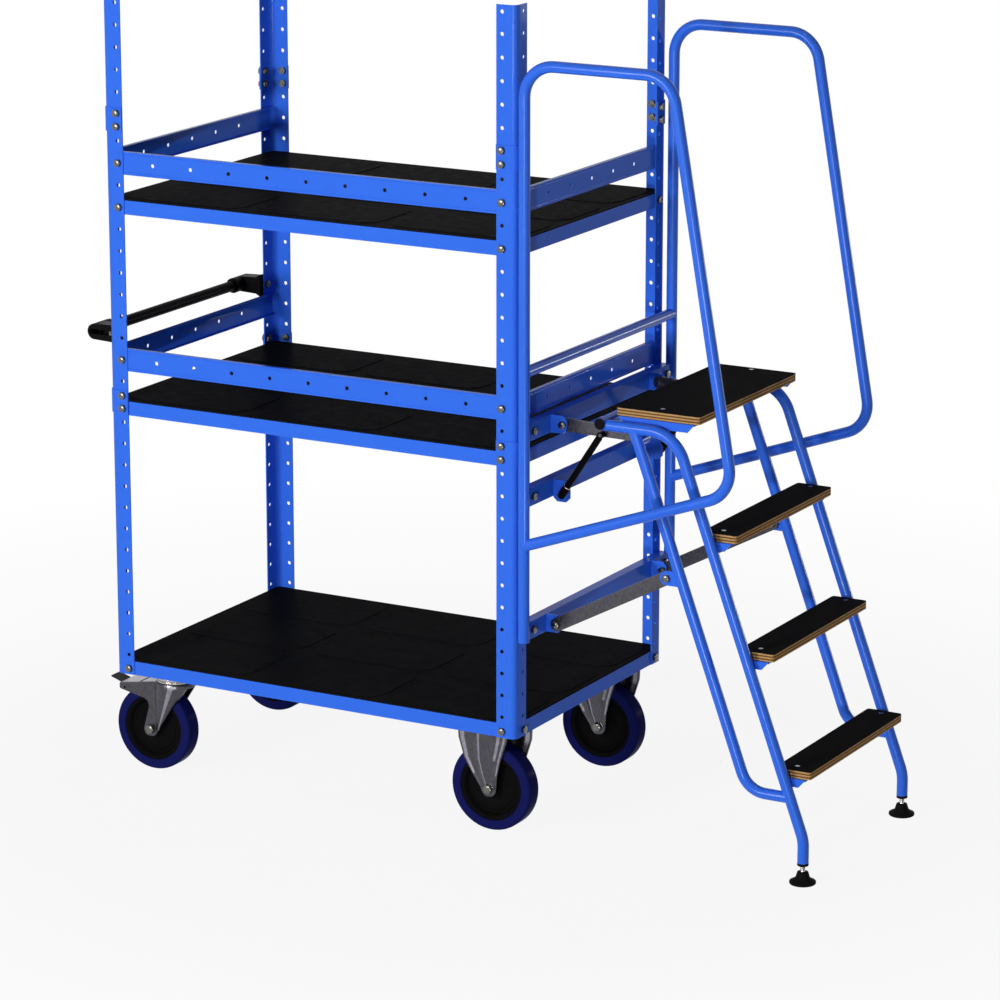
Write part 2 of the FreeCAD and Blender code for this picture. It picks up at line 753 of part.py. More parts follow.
def fixed_fork(name, side):
    # A top plate with two legs that taper to the axle
    body = new_body(name)
    flat_plate(body)
    leg = new_sketch(body, "XZ_Plane")
    outline(leg, [("-fork_back", "0"), ("fork_front", "0"), ("fork_front", "-fork_knee"),
                  ("fork_end", "-axle_drop"), ("-fork_end", "-axle_drop"),
                  ("-fork_shoulder_back", "-fork_shoulder"), ("-fork_back", "-fork_knee")])
    pad(body, leg, "2 * fork_half", middle=True)
    tip = new_sketch(body, "XZ_Plane")
    circle(tip, "0", "-axle_drop", "fork_end")
    pad(body, tip, "2 * fork_half", middle=True)
    gap = new_sketch(body, "XZ_Plane")
    frame(gap, "-caster_plate_length", "caster_plate_length",
          "-axle_drop - 2 * fork_end", "-caster_plate_wall")
    pocket(body, gap, "fork_gap", middle=True)
    axle_way = new_sketch(body, "XZ_Plane")
    circle(axle_way, "0", "-axle_drop", "axle_radius")
    pocket(body, axle_way, "2 * deck_width", middle=True)
    plate_holes(body, "caster_plate_wall")
    return place(body, *caster_spot(1, side), "caster_height")


def axle(name, x, y):
    # A hexagon bolt with its nut
    z = "caster_height - axle_drop"
    shaft = rod(name + "Shaft", "y", "axle_radius", "2 * (fork_half + axle_head)", x,
                f"{y} - fork_half - axle_head", z)
    head = prism(name + "Head", "y", "axle_across", "axle_head", x, f"{y} - fork_half - axle_head", z)
    nut = prism(name + "Nut", "y", "axle_across", "axle_head", x, f"{y} + fork_half", z)
    return fuse(name, [shaft, head, nut])


def tyre(name, x, y):
    body = new_body(name)
    half = new_sketch(body, "XY_Plane")
    frame(half, "tyre_inner", "wheel_radius", "-tyre_width / 2", "tyre_width / 2")
    ring = revolve(body, half, "V_Axis")
    soften(body, ring, "tyre_round", lambda edge: edge.Curve.TypeId == "Part::GeomCircle" and
           edge.Curve.Radius > number("(tyre_inner + wheel_radius) / 2"))
    return place(body, x, y, "caster_height - axle_drop")


def hub(name, x, y):
    # Boss, web and rim in one turned profile
    body = new_body(name)
    half = new_sketch(body, "XY_Plane")
    ways = [("axle_radius + run_gap", "hub_width"), ("hub_boss_radius", "hub_width"),
            ("hub_boss_radius", "hub_web"), ("hub_rim_inner", "hub_web"),
            ("hub_rim_inner", "hub_rim_width"), ("tyre_inner", "hub_rim_width")]
    above = [(radius, f"{width} / 2") for radius, width in ways]
    below = [(radius, f"-{width} / 2") for radius, width in reversed(ways)]
    outline(half, above + below)
    revolve(body, half, "V_Axis")
    return place(body, x, y, "caster_height - axle_drop")


def swivel_plate(name, side):
    # Top plate, ball race and king pin
    x, y = caster_spot(-1, side)
    body = new_body(name)
    flat_plate(body)
    plate_holes(body, "caster_plate_wall")
    race = new_sketch(body, "XY_Plane", "-caster_plate_wall")
    circle(race, "0", "0", "race_radius")
    pad(body, race, "race_height", reverse=True)
    king = new_sketch(body, "XY_Plane", "-caster_plate_wall")
    circle(king, "0", "0", "axle_radius")
    pad(body, king, "race_height + 3 * side_gap + fork_wall", reverse=True)
    cap = new_sketch(body, "XY_Plane", "crown_top - fork_wall - side_gap")
    circle(cap, "0", "0", "axle_across / 2")
    pad(body, cap, "axle_head", reverse=True)
    return place(body, x, y, "caster_height")


def swivel_fork(name, side):
    # Round crown, raked legs and the arm that carries the brake pedal
    x, y = caster_spot(-1, side)
    body = new_body(name)
    crown = new_sketch(body, "XZ_Plane")
    outline(crown, [("0", "crown_top"), ("crown_radius", "crown_top"),
                    ("crown_radius", "crown_top - crown_depth"), ("fork_half", "crown_top - crown_fall"),
                    ("fork_half - fork_wall", "crown_top - crown_fall"),
                    ("crown_radius - fork_wall", "crown_top - crown_depth"),
                    ("crown_radius - fork_wall", "crown_top - fork_wall"), ("0", "crown_top - fork_wall")])
    revolve(body, crown, "V_Axis")
    leg = new_sketch(body, "XZ_Plane")
    outline(leg, [("-brake_arm_reach", "-brake_arm_drop"), ("-crown_crease", "crease_level"),
                  ("-crown_crease", "crown_top"), ("crown_crease", "crown_top"),
                  ("crown_crease", "crown_top - crown_side"), ("fork_end - caster_trail", "-axle_drop"),
                  ("-fork_end - caster_trail", "-axle_drop"), ("-leg_back", "crown_top - leg_back_drop"),
                  ("-brake_arm_root_back", "crown_top - brake_arm_root"),
                  ("-brake_arm_reach", "-brake_arm_drop - brake_arm_height")])
    pad(body, leg, "2 * fork_half", middle=True)
    tip = new_sketch(body, "XZ_Plane")
    circle(tip, "-caster_trail", "-axle_drop", "fork_end")
    pad(body, tip, "2 * fork_half", middle=True)
    gap = new_sketch(body, "XZ_Plane")
    low = "-axle_drop - 2 * fork_end"
    beyond = "(2 * brake_arm_reach)"
    outline(gap, [(f"-{beyond}", low), ("2 * crown_radius", low),
                  ("2 * crown_radius", "crown_top - fork_wall"),
                  ("-crown_crease", "crown_top - fork_wall"), ("-crown_crease", "crease_level - fork_wall"),
                  (f"-{beyond}", f"crease_level - fork_wall - arm_fall * ({beyond} - crown_crease)")])
    pocket(body, gap, "fork_gap", middle=True)
    axle_way = new_sketch(body, "XZ_Plane")
    circle(axle_way, "-caster_trail", "-axle_drop", "axle_radius")
    pocket(body, axle_way, "2 * deck_width", middle=True)
    pin_way = new_sketch(body, "XZ_Plane")
    circle(pin_way, "-pedal_pivot", "pedal_level", "pedal_pin + run_gap")
    pocket(body, pin_way, "2 * deck_width", middle=True)
    king_way = new_sketch(body, "XY_Plane", "crown_top")
    circle(king_way, "0", "0", "axle_radius + run_gap")
    pocket(body, king_way, "fork_wall")
    return place(body, x, y, "caster_height")


def brake_pedal(name, side):
    # Foot plate beyond the arm, with two ears on a pin inside it
    x, y = caster_spot(-1, side)
    body = new_body(name)
    outer = "(-brake_arm_reach - pedal_gap)"
    ear_top = "pedal_level + pedal_pin + pedal_pin / 2"
    ear_low = "pedal_level - 2 * pedal_pin"
    ear = new_sketch(body, "XZ_Plane")
    outline(ear, [("2 * pedal_pin - pedal_pivot", ear_low), ("2 * pedal_pin - pedal_pivot", ear_top),
                  (outer, ear_top), (outer, "-brake_arm_drop"),
                  ("-pedal_reach", "pedal_lift - brake_arm_drop"),
                  ("-pedal_reach", "pedal_lift - brake_arm_drop - pedal_wall"),
                  (f"{outer} - pedal_wall", "-brake_arm_drop - pedal_wall"),
                  (f"{outer} - pedal_wall", ear_low)])
    pad(body, ear, "pedal_width", middle=True)
    clear = new_sketch(body, "XZ_Plane")
    outline(clear, [("0", "pedal_level - 4 * pedal_pin"), ("0", "crown_top"), (outer, "crown_top"),
                    (outer, "pedal_level - 4 * pedal_pin")])
    pocket(body, clear, "pedal_width - 2 * pedal_wall", middle=True)
    shaft = new_sketch(body, "XZ_Plane")
    circle(shaft, "-pedal_pivot", "pedal_level", "pedal_pin")
    pad(body, shaft, "2 * fork_half", middle=True)
    return place(body, x, y, "caster_height")


node(group("SwivelPlates", [swivel_plate("SwivelPlate", side) for side_name, side in SIDES]), "swivel_plates")
fixed_axles = []
for side_name, side in SIDES:
    fixed_x, wheel_y = caster_spot(1, side)
    king_x, king_y = caster_spot(-1, side)
    swivel_x = f"({king_x} - caster_trail)"
    node(fixed_fork("FixedFork", side), f"fixed_fork_{side_name}")
    node(swivel_fork("SwivelFork", side), f"swivel_fork_{side_name}")
    node(brake_pedal("BrakePedal", side), f"brake_pedal_{side_name}")
    node(axle("SwivelAxle", swivel_x, wheel_y), f"swivel_axle_{side_name}")
    fixed_axles.append(axle("FixedAxle", fixed_x, wheel_y))
    for end, wheel_x in (("left", swivel_x), ("right", fixed_x)):
        node(tyre("Tyre", wheel_x, wheel_y), f"tyre_{side_name}_{end}")
        node(hub("Hub", wheel_x, wheel_y), f"hub_{side_name}_{end}")
node(group("FixedAxles", fixed_axles), "fixed_axles")


def crossbeam(name, level, sides, lug, eye):
    # A channel with a pair of welded lugs
    body = new_body(name)
    section = new_sketch(body, "XZ_Plane")
    top = "(beam_height / 2)"
    inner = "(beam_height / 2 - beam_wall)"
    outline(section, [("0", "-" + top), ("beam_depth", "-" + top),
                      ("beam_depth", top), ("0", top), ("0", inner),
                      ("beam_depth - beam_wall", inner), ("beam_depth - beam_wall", "-" + inner),
                      ("0", "-" + inner)])
    pad(body, section, "2 * beam_half", middle=True)
    for sign in (-1, 1):
        plate = new_sketch(body, "XZ_Plane", f"{-sign} * {sides}")
        outline(plate, lug)
        circle(plate, *eye, "pivot_radius" if name != "MiddleBeam" else "gas_stud")
        pad(body, plate, "lug_wall", middle=True)
    bolts = new_sketch(body, "YZ_Plane", "beam_depth")
    for sign in (-1, 1):
        circle(bolts, f"{sign} * (half_width - hole_inset)", "0", "hole_radius")
    pocket(body, bolts, "beam_wall")
    return place(body, "post_right", "0", f"caster_height + {level}")


pivot_lug = [("beam_depth", "-beam_height / 2"), ("lug_tip - lug_chamfer", "-beam_height / 2"),
             ("lug_tip", "lug_chamfer - beam_height / 2"), ("lug_tip", "beam_height / 2 - lug_chamfer"),
             ("lug_tip - lug_chamfer", "beam_height / 2"), ("beam_depth", "beam_height / 2")]
gas_lug_top = "beam_height / 2 - beam_wall"
gas_lug = [("beam_depth", gas_lug_top), ("beam_depth", "lug_chamfer - gas_lug_drop"),
           ("beam_depth + lug_chamfer", "-gas_lug_drop"), ("gas_lug_tip - lug_chamfer", "-gas_lug_drop"),
           ("gas_lug_tip", "lug_chamfer - gas_lug_drop"), ("gas_lug_tip", "0"),
           ("gas_low_out", gas_lug_top)]
node(crossbeam("UpperBeam", "beam_top", "upper_lug_side", pivot_lug, ("pivot_out", "0")), "crossbeam_upper")
node(crossbeam("LowerBeam", "beam_low", "lower_lug_side", pivot_lug, ("pivot_out", "0")), "crossbeam_lower")
gas_beam = crossbeam("MiddleBeam", "beam_mid", "gas_bracket_side", gas_lug, ("gas_low_out", "-gas_low_drop"))
low_studs = []
for side_name, side in SIDES:
    start = "gas_bracket_side - lug_wall / 2"
    length = "gas_side + gas_socket_width / 2 - gas_bracket_side + lug_wall / 2"
    base = f"{start}" if side > 0 else f"-({start}) - ({length})"
    low_studs.append(rod("LowStud", "y", "gas_stud", length, "post_right + gas_low_out", base,
                         "caster_height + gas_low_level"))
node(fuse("GasBeam", [gas_beam] + low_studs), "crossbeam_middle")


def slanted_bar(name, wide, narrow, eye_near, eye_far, start, end, side, gas_eye=False):
    # A flat link with round ends, laid from the start pivot to the end pivot
    run = f"({end[0]} - {start[0]})"
    rise = f"({end[1]} - {start[1]})"
    length = f"sqrt({run} ^ 2 + {rise} ^ 2)"
    body = new_body(name)
    bar = new_sketch(body, "XZ_Plane")
    outline(bar, [("0", f"-{wide}"), (length, f"-{narrow}"), (length, narrow), ("0", wide)])
    pad(body, bar, "link_wall", middle=True)
    for along, radius in (("0", wide), (length, narrow)):
        tip = new_sketch(body, "XZ_Plane")
        circle(tip, along, "0", radius)
        pad(body, tip, "link_wall", middle=True)
    eyes = new_sketch(body, "XZ_Plane")
    circle(eyes, "0", "0", eye_near)
    circle(eyes, length, "0", eye_far)
    pocket(body, eyes, "link_wall", middle=True)
    tilt = math.degrees(math.atan2(number(rise), number(run)))
    spot = (f"post_right + {start[0]}", side, f"caster_height + {start[1]}")
    return place(body, *spot, turned(0, -1, 0, tilt))


pivot_a = ("pivot_out", "beam_top")
pivot_b = ("pivot_out", "beam_low")
pivot_c = ("ladder_pivot_out", "ladder_pivot_level")
pivot_d = ("tab_out", "tab_level")
upper_links = []
lower_links = []
for side_name, side in SIDES:
    bar = slanted_bar("UpperLink", "link_end", "link_tip", "pivot_radius + run_gap", "pivot_radius + run_gap",
                      pivot_a, pivot_c, f"{side} * upper_link_side")
    start = "upper_link_side + link_wall / 2"
    length = "gas_side + gas_socket_width / 2 - upper_link_side - link_wall / 2"
    base = start if side > 0 else f"-({start}) - ({length})"
    stud = rod("HighStud", "y", "gas_stud", length, "post_right + gas_high_out", base,
               "caster_height + gas_high_level")
    upper_links.append(fuse("UpperLinkWhole", [bar, stud]))
    lower_links.append(slanted_bar("LowerLink", "link_end", "link_end", "pivot_radius + run_gap",
                                   "pivot_radius + open_gap", pivot_b, pivot_d, f"{side} * lower_link_side"))
node(group("UpperLinks", upper_links), "upper_links")
node(group("LowerLinks", lower_links), "lower_links")

gas_run = "(gas_high_out - gas_low_out)"
gas_climb = "(gas_high_level - gas_low_level)"
gas_length = f"sqrt({gas_run} ^ 2 + {gas_climb} ^ 2)"
gas_tilt = math.degrees(math.atan2(number(gas_climb), number(gas_run)))


def gas_place(body, side):
    return place(body, "post_right + gas_low_out", f"{side} * gas_side", "caster_height + gas_low_level",
                 turned(0, -1, 0, gas_tilt))


def gas_rod(name, side):
    # Lower socket with the rod that slides in the cylinder
    body = new_body(name)
    socket = new_sketch(body, "XZ_Plane")
    circle(socket, "0", "0", "gas_socket")
    pad(body, socket, "gas_socket_width", middle=True)
    bar = new_sketch(body, "YZ_Plane")
    circle(bar, "0", "0", "gas_rod_radius")
    pad(body, bar, "gas_rod_show + gas_rod_inside")
    eye = new_sketch(body, "XZ_Plane")
    circle(eye, "0", "0", "gas_stud + run_gap")
    pocket(body, eye, "gas_socket_width", middle=True)
    return gas_place(body, side)


def gas_cylinder(name, side):
    # Tube with a blind bore for the rod and the upper socket
    body = new_body(name)
    tube = new_sketch(body, "YZ_Plane", "gas_rod_show")
    circle(tube, "0", "0", "gas_tube_radius")
    pad(body, tube, f"{gas_length} - gas_rod_show - gas_socket")
    neck = new_sketch(body, "YZ_Plane", f"{gas_length} - gas_socket - gas_stud")
    circle(neck, "0", "0", "gas_stud")
    pad(body, neck, "gas_socket")
    socket = new_sketch(body, "XZ_Plane")
    circle(socket, gas_length, "0", "gas_socket")
    pad(body, socket, "gas_socket_width", middle=True)
    bore = new_sketch(body, "YZ_Plane", "gas_rod_show")
    circle(bore, "0", "0", "gas_rod_radius + run_gap")
    pocket(body, bore, "gas_rod_inside + gas_rod_radius", reverse=True)
    eye = new_sketch(body, "XZ_Plane")
    circle(eye, gas_length, "0", "gas_stud + gas_open_gap")
    pocket(body, eye, "gas_socket_width", middle=True)
    return gas_place(body, side)


for side_name, side in SIDES:
    node(gas_rod("GasRod", side), f"gas_rod_{side_name}")
    node(gas_cylinder("GasCylinder", side), f"gas_cylinder_{side_name}")

bar_posts = []
for side_name, side in SIDES:
    loop = bent_tube("HandrailLoop", "handrail_loop", side, role="XY_Plane")
    run = "(handrail_split_out - handrail_out)"
    climb = "(handrail_split_level - handrail_joint)"
    span = f"sqrt({run} ^ 2 + {climb} ^ 2)"
    lower_run = new_body("LowerRun")
    ring = new_sketch(lower_run, "YZ_Plane")
    circle(ring, "0", "0", "tube_radius")
    circle(ring, "0", "0", "tube_bore")
    pad(lower_run, ring, span)
    slant = math.degrees(math.atan2(number(climb), number(run)))
    place(lower_run, "post_right + handrail_out", f"{side} * handrail_side", "caster_height + handrail_joint",
          turned(0, -1, 0, slant))
    upright_core = rod("HandrailCore", "z", "tube_radius", "handrail_top", "post_right + handrail_out",
                       f"{side} * handrail_side", "caster_height")
    bar_posts.append(upright_core)
    coped_run = cut("CopedRun", lower_run, [upright_core])
    node(fuse("Handrail", [loop, coped_run]), f"handrail_{side_name}")
bar_skin = rod("BarSkin", "y", "tube_radius", "2 * handrail_side", "post_right + handrail_out",
               "-handrail_side", "caster_height + crossbar_level")
bar_core = rod("BarCore", "y", "tube_bore", "2 * handrail_side", "post_right + handrail_out",
               "-handrail_side", "caster_height + crossbar_level")
node(cut("HandrailCrossbar", bar_skin, [bar_core] + bar_posts), "handrail_crossbar")

cross_half = "(ladder_side + tube_radius)"
cross_x = "post_right + cross_out"
cross_z = "caster_height + cross_level"
cross_skin = rod("CrossSkin", "y", "tube_radius", f"2 * {cross_half}", cross_x, f"-{cross_half}", cross_z)
cross_core = rod("CrossCore", "y", "tube_bore", f"2 * {cross_half}", cross_x, f"-{cross_half}", cross_z)
node(cut("LadderCrossTube", cross_skin, [cross_core]), "ladder_cross_tube")

slope_run = "(stay_corner_out - stay_top_out)"
slope_fall = "(stringer_level - stay_corner_level)"
stay_x_at_tab = f"(stay_top_out + {slope_run} * (stringer_level - tab_level) / {slope_fall})"
for side_name, side in SIDES:
    pipe = bent_tube("StringerPipe", "stringer_pipe", side)
    core = bent_tube("StringerCore", "stringer_pipe", side, hollow=False)
    node(cut("Stringer", pipe, [cross_skin]), f"stringer_{side_name}")
    stay_pipe = bent_tube("StayPipe", "stay_pipe", side)
    stay_bore = bent_tube("StayCore", "stay_pipe", side, hollow=False)
    coped = cut("CopedStay", stay_pipe, [core])
    tab_body = new_body("StayTab")
    tab_plan = new_sketch(tab_body, "XZ_Plane", f"{-side} * tab_side")
    outline(tab_plan, [("tab_out", "tab_level + tab_radius"), (stay_x_at_tab, "tab_level + tab_radius"),
                       (stay_x_at_tab, "tab_level - tab_radius"), ("tab_out", "tab_level - tab_radius")])
    pad(tab_body, tab_plan, "lug_wall", middle=True)
    tab_tip = new_sketch(tab_body, "XZ_Plane", f"{-side} * tab_side")
    circle(tab_tip, "tab_out", "tab_level", "tab_radius")
    pad(tab_body, tab_tip, "lug_wall", middle=True)
    tab_eye = new_sketch(tab_body, "XZ_Plane", f"{-side} * tab_side")
    circle(tab_eye, "tab_out", "tab_level", "pivot_radius")
    pocket(tab_body, tab_eye, "lug_wall", middle=True)
    place(tab_body, "post_right", "0", "caster_height")
    boss_start = "(upper_link_side + link_wall / 2 + side_gap)"
    boss_length = f"(ladder_side - {boss_start})"
    boss_base = boss_start if side > 0 else "-ladder_side"
    boss = rod("StayBoss", "y", "boss_radius", boss_length, "post_right + ladder_pivot_out", boss_base,
               "caster_height + ladder_pivot_level")
    boss_eye = rod("BossEye", "y", "pivot_radius", boss_length, "post_right + ladder_pivot_out", boss_base,
                   "caster_height + ladder_pivot_level")
    trimmed_tab = cut("TrimmedTab", tab_body, [stay_bore])
    trimmed_boss = cut("TrimmedBoss", boss, [stay_bore])
    whole_stay = fuse("WholeStay", [coped, trimmed_tab, trimmed_boss])
    node(cut("Stay", whole_stay, [boss_eye]), f"stay_{side_name}")

plugs = []
for side_name, side in SIDES:
    cap_y = f"{side} * {cross_half}" if side > 0 else f"-{cross_half} - cap_height"
    plugs.append(rod("CrossCap", "y", "tube_radius", "cap_height", cross_x, cap_y, cross_z))
    insert = new_body("FootInsert")
    half = new_sketch(insert, "XZ_Plane")
    outline(half, [("spindle_radius + run_gap", "-insert_collar"), ("tube_radius", "-insert_collar"),
                   ("tube_radius", "0"), ("tube_bore", "0"), ("tube_bore", "insert_depth"),
                   ("spindle_radius + run_gap", "insert_depth")])
    revolve(insert, half, "V_Axis")
    plugs.append(place(insert, "post_right + foot_out", f"{side} * ladder_side", "caster_height + foot_end"))
    spindle = new_body("FootSpindle")
    profile = new_sketch(spindle, "XY_Plane", "ball_level")
    circle(profile, "0", "0", "spindle_radius")
    pad(spindle, profile, "foot_length - ball_level + spindle_inside")
    place(spindle, "post_right + foot_out", f"{side} * ladder_side", "0")
    ball = document.addObject("Part::Sphere", "FootBall")
    bind(ball, Radius="ball_radius")
    place(ball, "post_right + foot_out", f"{side} * ladder_side", "ball_level")
    node(fuse("Spindle", [spindle, ball]), f"foot_spindle_{side_name}")
    pad_body = new_body("FootPad")
    half_pad = new_sketch(pad_body, "XZ_Plane")
    outline(half_pad, [("0", "0"), ("pad_radius", "0"), ("pad_radius", "pad_edge"),
                       ("pad_neck", "pad_height / 2"),
                       ("pad_neck", "pad_height"), ("ball_radius + side_gap", "pad_height"),
                       ("ball_radius + side_gap", "ball_level"), ("0", "ball_level")])
    revolve(pad_body, half_pad, "V_Axis")
    place(pad_body, "post_right + foot_out", f"{side} * ladder_side", "0")
    hollow = document.addObject("Part::Sphere", "PadHollow")
    bind(hollow, Radius="ball_radius + side_gap")
    place(hollow, "post_right + foot_out", f"{side} * ladder_side", "ball_level")
    node(cut("Pad", pad_body, [hollow]), f"foot_pad_{side_name}")
node(group("LadderPlugs", plugs), "ladder_plugs")


def tread_spot(rank):
    # Outer edge, depth and top of one tread; the platform is the first
    edge = f"(platform_edge + {rank} * tread_run)"
    depth = "platform_depth" if rank == 0 else "tread_depth"
    top = f"(platform_level - {rank} * tread_rise)"
    return edge, depth, top


boards = []
tread_brackets = []
screw_spots = []
for rank in range(STEP_COUNT + 1):
    edge, depth, top = tread_spot(rank)
    board = box("Board", f"post_right + {edge} - {depth}", "-board_length / 2",
                f"caster_height + {top} - board_wall", depth, "board_length", "board_wall")
    drills = []
    for side_name, side in SIDES:
        screw_x = f"post_right + {edge} - {depth} / 2"
        screw_y = f"{side} * (board_length / 2 - screw_inset)"
        screw_spots.append((screw_x, screw_y, f"caster_height + {top}"))
        drills.append(rod("BoardHole", "z", "screw_radius", "board_wall", screw_x, screw_y,
                          f"caster_height + {top} - board_wall"))
        bracket = new_body("TreadBracket")
        plate = new_sketch(bracket, "XZ_Plane", f"{-side} * (bracket_side - bracket_wall / 2)")
        near = f"({edge} - bracket_inset)"
        far = f"({edge} - {depth} + bracket_inset)"
        under = f"({top} - board_wall)"
        low = f"({under} - bracket_height)"
        outline(plate, [(far, under), (near, under), (f"{near} - bracket_chamfer", low),
                        (f"{far} + bracket_chamfer", low)])
        pad(bracket, plate, "bracket_wall", middle=True)
        ledge = new_sketch(bracket, "XY_Plane", under)
        inner_y = f"{side} * (bracket_side - bracket_flange)"
        outer_y = f"{side} * bracket_side"
        frame(ledge, far, near, inner_y, outer_y)
        circle(ledge, f"{edge} - {depth} / 2", screw_y, "screw_radius")
        pad(bracket, ledge, "bracket_wall", reverse=True)
        tread_brackets.append(place(bracket, "post_right", "0", "caster_height"))
    boards.append(cut("Tread", board, drills))
node(boards[0], "platform_board")
node(group("StepBoards", boards[1:]), "step_boards")
node(group("TreadBrackets", tread_brackets), "tread_brackets")


def hexagon(across, height):
    corner = across / math.sqrt(3)
    turns = [k * math.tau / HEX_SIDES for k in range(HEX_SIDES + 1)]
    spots = [Vector(corner * math.cos(turn), corner * math.sin(turn), 0) for turn in turns]
    return Part.Face(Part.makePolygon(spots)).extrude(Vector(0, 0, height))


def bolt(x, y, z, outward, grip, radius="bolt_radius"):
    # Head on the outer face at the point, shank through the grip, nut behind it
    head = hexagon(number("bolt_across"), number("bolt_head"))
    depth = number(grip) + number("nut_height") + number("bolt_spare")
    shank = Part.makeCylinder(number(radius), depth, Vector(0, 0, -depth))
    nut = hexagon(number("bolt_across"), number("nut_height"))
    nut.translate(Vector(0, 0, -number(grip) - number("nut_height")))
    whole = head.fuse([shank, nut]).removeSplitter()
    spot = Vector(number(x), number(y), number(z))
    whole.Placement = FreeCAD.Placement(spot, FreeCAD.Rotation(Vector(0, 0, 1), Vector(*outward)))
    return whole


def collect(name, shapes):
    gathered = document.addObject("Part::Feature", name)
    gathered.Shape = Part.makeCompound(shapes)
    return gathered


bolts = []
flange_rows = [("hole_end", "0", "post_wall + rim_wall"),
               ("shelf_low", "splice_wall", "splice_wall + post_wall + rim_wall"),
               ("post_segment + hole_end", "splice_wall", "splice_wall + post_wall"),
               ("2 * post_segment - hole_end", "splice_wall", "splice_wall + post_wall"),
               ("2 * post_segment + hole_end", "splice_wall", "splice_wall + post_wall"),
               ("shelf_high", "0", "post_wall + rim_wall")]
for x_sign in (-1, 1):
    for y_sign in (-1, 1):
        for level, proud, grip in flange_rows:
            z = f"caster_height + {level}"
            column_x = f"deck_mid + {x_sign} * (deck_length / 2 - hole_inset)"
            column_y = f"{y_sign} * (half_width - hole_inset)"
            bolts.append(bolt(column_x, f"{y_sign} * (half_width + {proud})", z, (0, y_sign, 0), grip))
            bolts.append(bolt(f"deck_mid + {x_sign} * (deck_length / 2 + {proud})", column_y, z,
                              (x_sign, 0, 0), grip))
for x_sign in (-1, 1):
    for level in ("rail_low", "rail_high"):
        column_x = f"deck_mid + {x_sign} * (deck_length / 2 - hole_inset)"
        bolts.append(bolt(column_x, "-half_width", f"caster_height + {level}", (0, -1, 0),
                          "post_wall + rail_wall"))
for side_name, side in SIDES:
    column_y = f"{side} * (half_width - hole_inset)"
    for level in ("beam_low", "beam_mid", "beam_top"):
        bolts.append(bolt("post_right + beam_depth", column_y, f"caster_height + {level}", (1, 0, 0),
                          "beam_depth + post_wall"))
    bolts.append(bolt("post_left - arm_foot", column_y, handle_z, (-1, 0, 0), "arm_foot + post_wall"))
    bolts.append(bolt("post_right + pivot_out", f"{side} * (upper_lug_side + lug_wall / 2)",
                      "caster_height + beam_top", (0, side, 0), "lug_wall + link_wall + 2 * side_gap",
                      "pivot_radius"))
    bolts.append(bolt("post_right + pivot_out", f"{side} * (lower_link_side + link_wall / 2 + side_gap)",
                      "caster_height + beam_low", (0, side, 0), "lug_wall + link_wall + 2 * side_gap",
                      "pivot_radius"))
for spot_x, spot_y in bearer_bolts:
    bolts.append(bolt(spot_x, spot_y, "caster_height - caster_plate_wall", (0, 0, -1),
                      "caster_plate_wall + bearer_wall"))
node(collect("FrameBolts", bolts), "frame_bolts")

fasteners = []
for spot_x, spot_y, spot_z in screw_spots:
    spot = Vector(number(spot_x), number(spot_y), number(spot_z))
    depth = number("board_wall + bracket_wall")
    head = Part.makeCylinder(number("screw_head"), number("screw_head_height"), spot)
    shank = Part.makeCylinder(number("screw_radius"), depth, spot - Vector(0, 0, depth))
    fasteners.append(head.fuse(shank).removeSplitter())
for side_name, side in SIDES:
    fasteners.append(bolt("post_right + tab_out", f"{side} * (tab_side + lug_wall / 2)",
                          "caster_height + tab_level", (0, side, 0), "lug_wall + link_wall + 2 * side_gap",
                          "pivot_radius"))
    start = number(f"{side} * (upper_link_side - link_wall / 2 - side_gap)")
    level = number("caster_height + ladder_pivot_level")
    spot = Vector(number("post_right + ladder_pivot_out"), start, level)
    length = number(f"ladder_side - tube_bore - upper_link_side + link_wall / 2 + side_gap")
    shank = Part.makeCylinder(number("pivot_radius"), length, spot, Vector(0, side, 0))
    head = hexagon(number("bolt_across"), number("bolt_head"))
    head.Placement = FreeCAD.Placement(spot, FreeCAD.Rotation(Vector(0, 0, 1), Vector(0, -side, 0)))
    fasteners.append(head.fuse(shank).removeSplitter())
node(collect("LadderFasteners", fasteners), "ladder_fasteners")

document.recompute()
troubles = []
for thing in document.Objects:
    if "Invalid" in thing.State or "Error" in thing.State:
        troubles.append(f"{thing.Label}: {thing.State}")
for piece in nodes:
    if piece.Shape.isNull() or not piece.Shape.isValid() or not piece.Shape.Solids:
        troubles.append(f"{piece.Label}: shape is not sound")
if troubles:
    raise RuntimeError("; ".join(troubles))
os.makedirs("parts", exist_ok=True)
for piece in nodes:
    piece.Shape.exportStep(f"parts/{piece.Label}.step")
    print(piece.Label, len(piece.Shape.Solids), "solids", round(piece.Shape.Volume), "mm3")
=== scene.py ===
# %% [markdown]
# # An order picking trolley with a fold-away ladder
# The trolley is bright blue folded sheet and bent tube, with black trays, blue wheels on pressed
# zinc forks, and a small ladder with plywood treads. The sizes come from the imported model, which
# is loaded here as a fixed frame. This lesson only gives that frame its skins, finishes and light.

# %% Load the frame
import bmesh
import bpy
import json
import math
from mathutils import Matrix, Vector


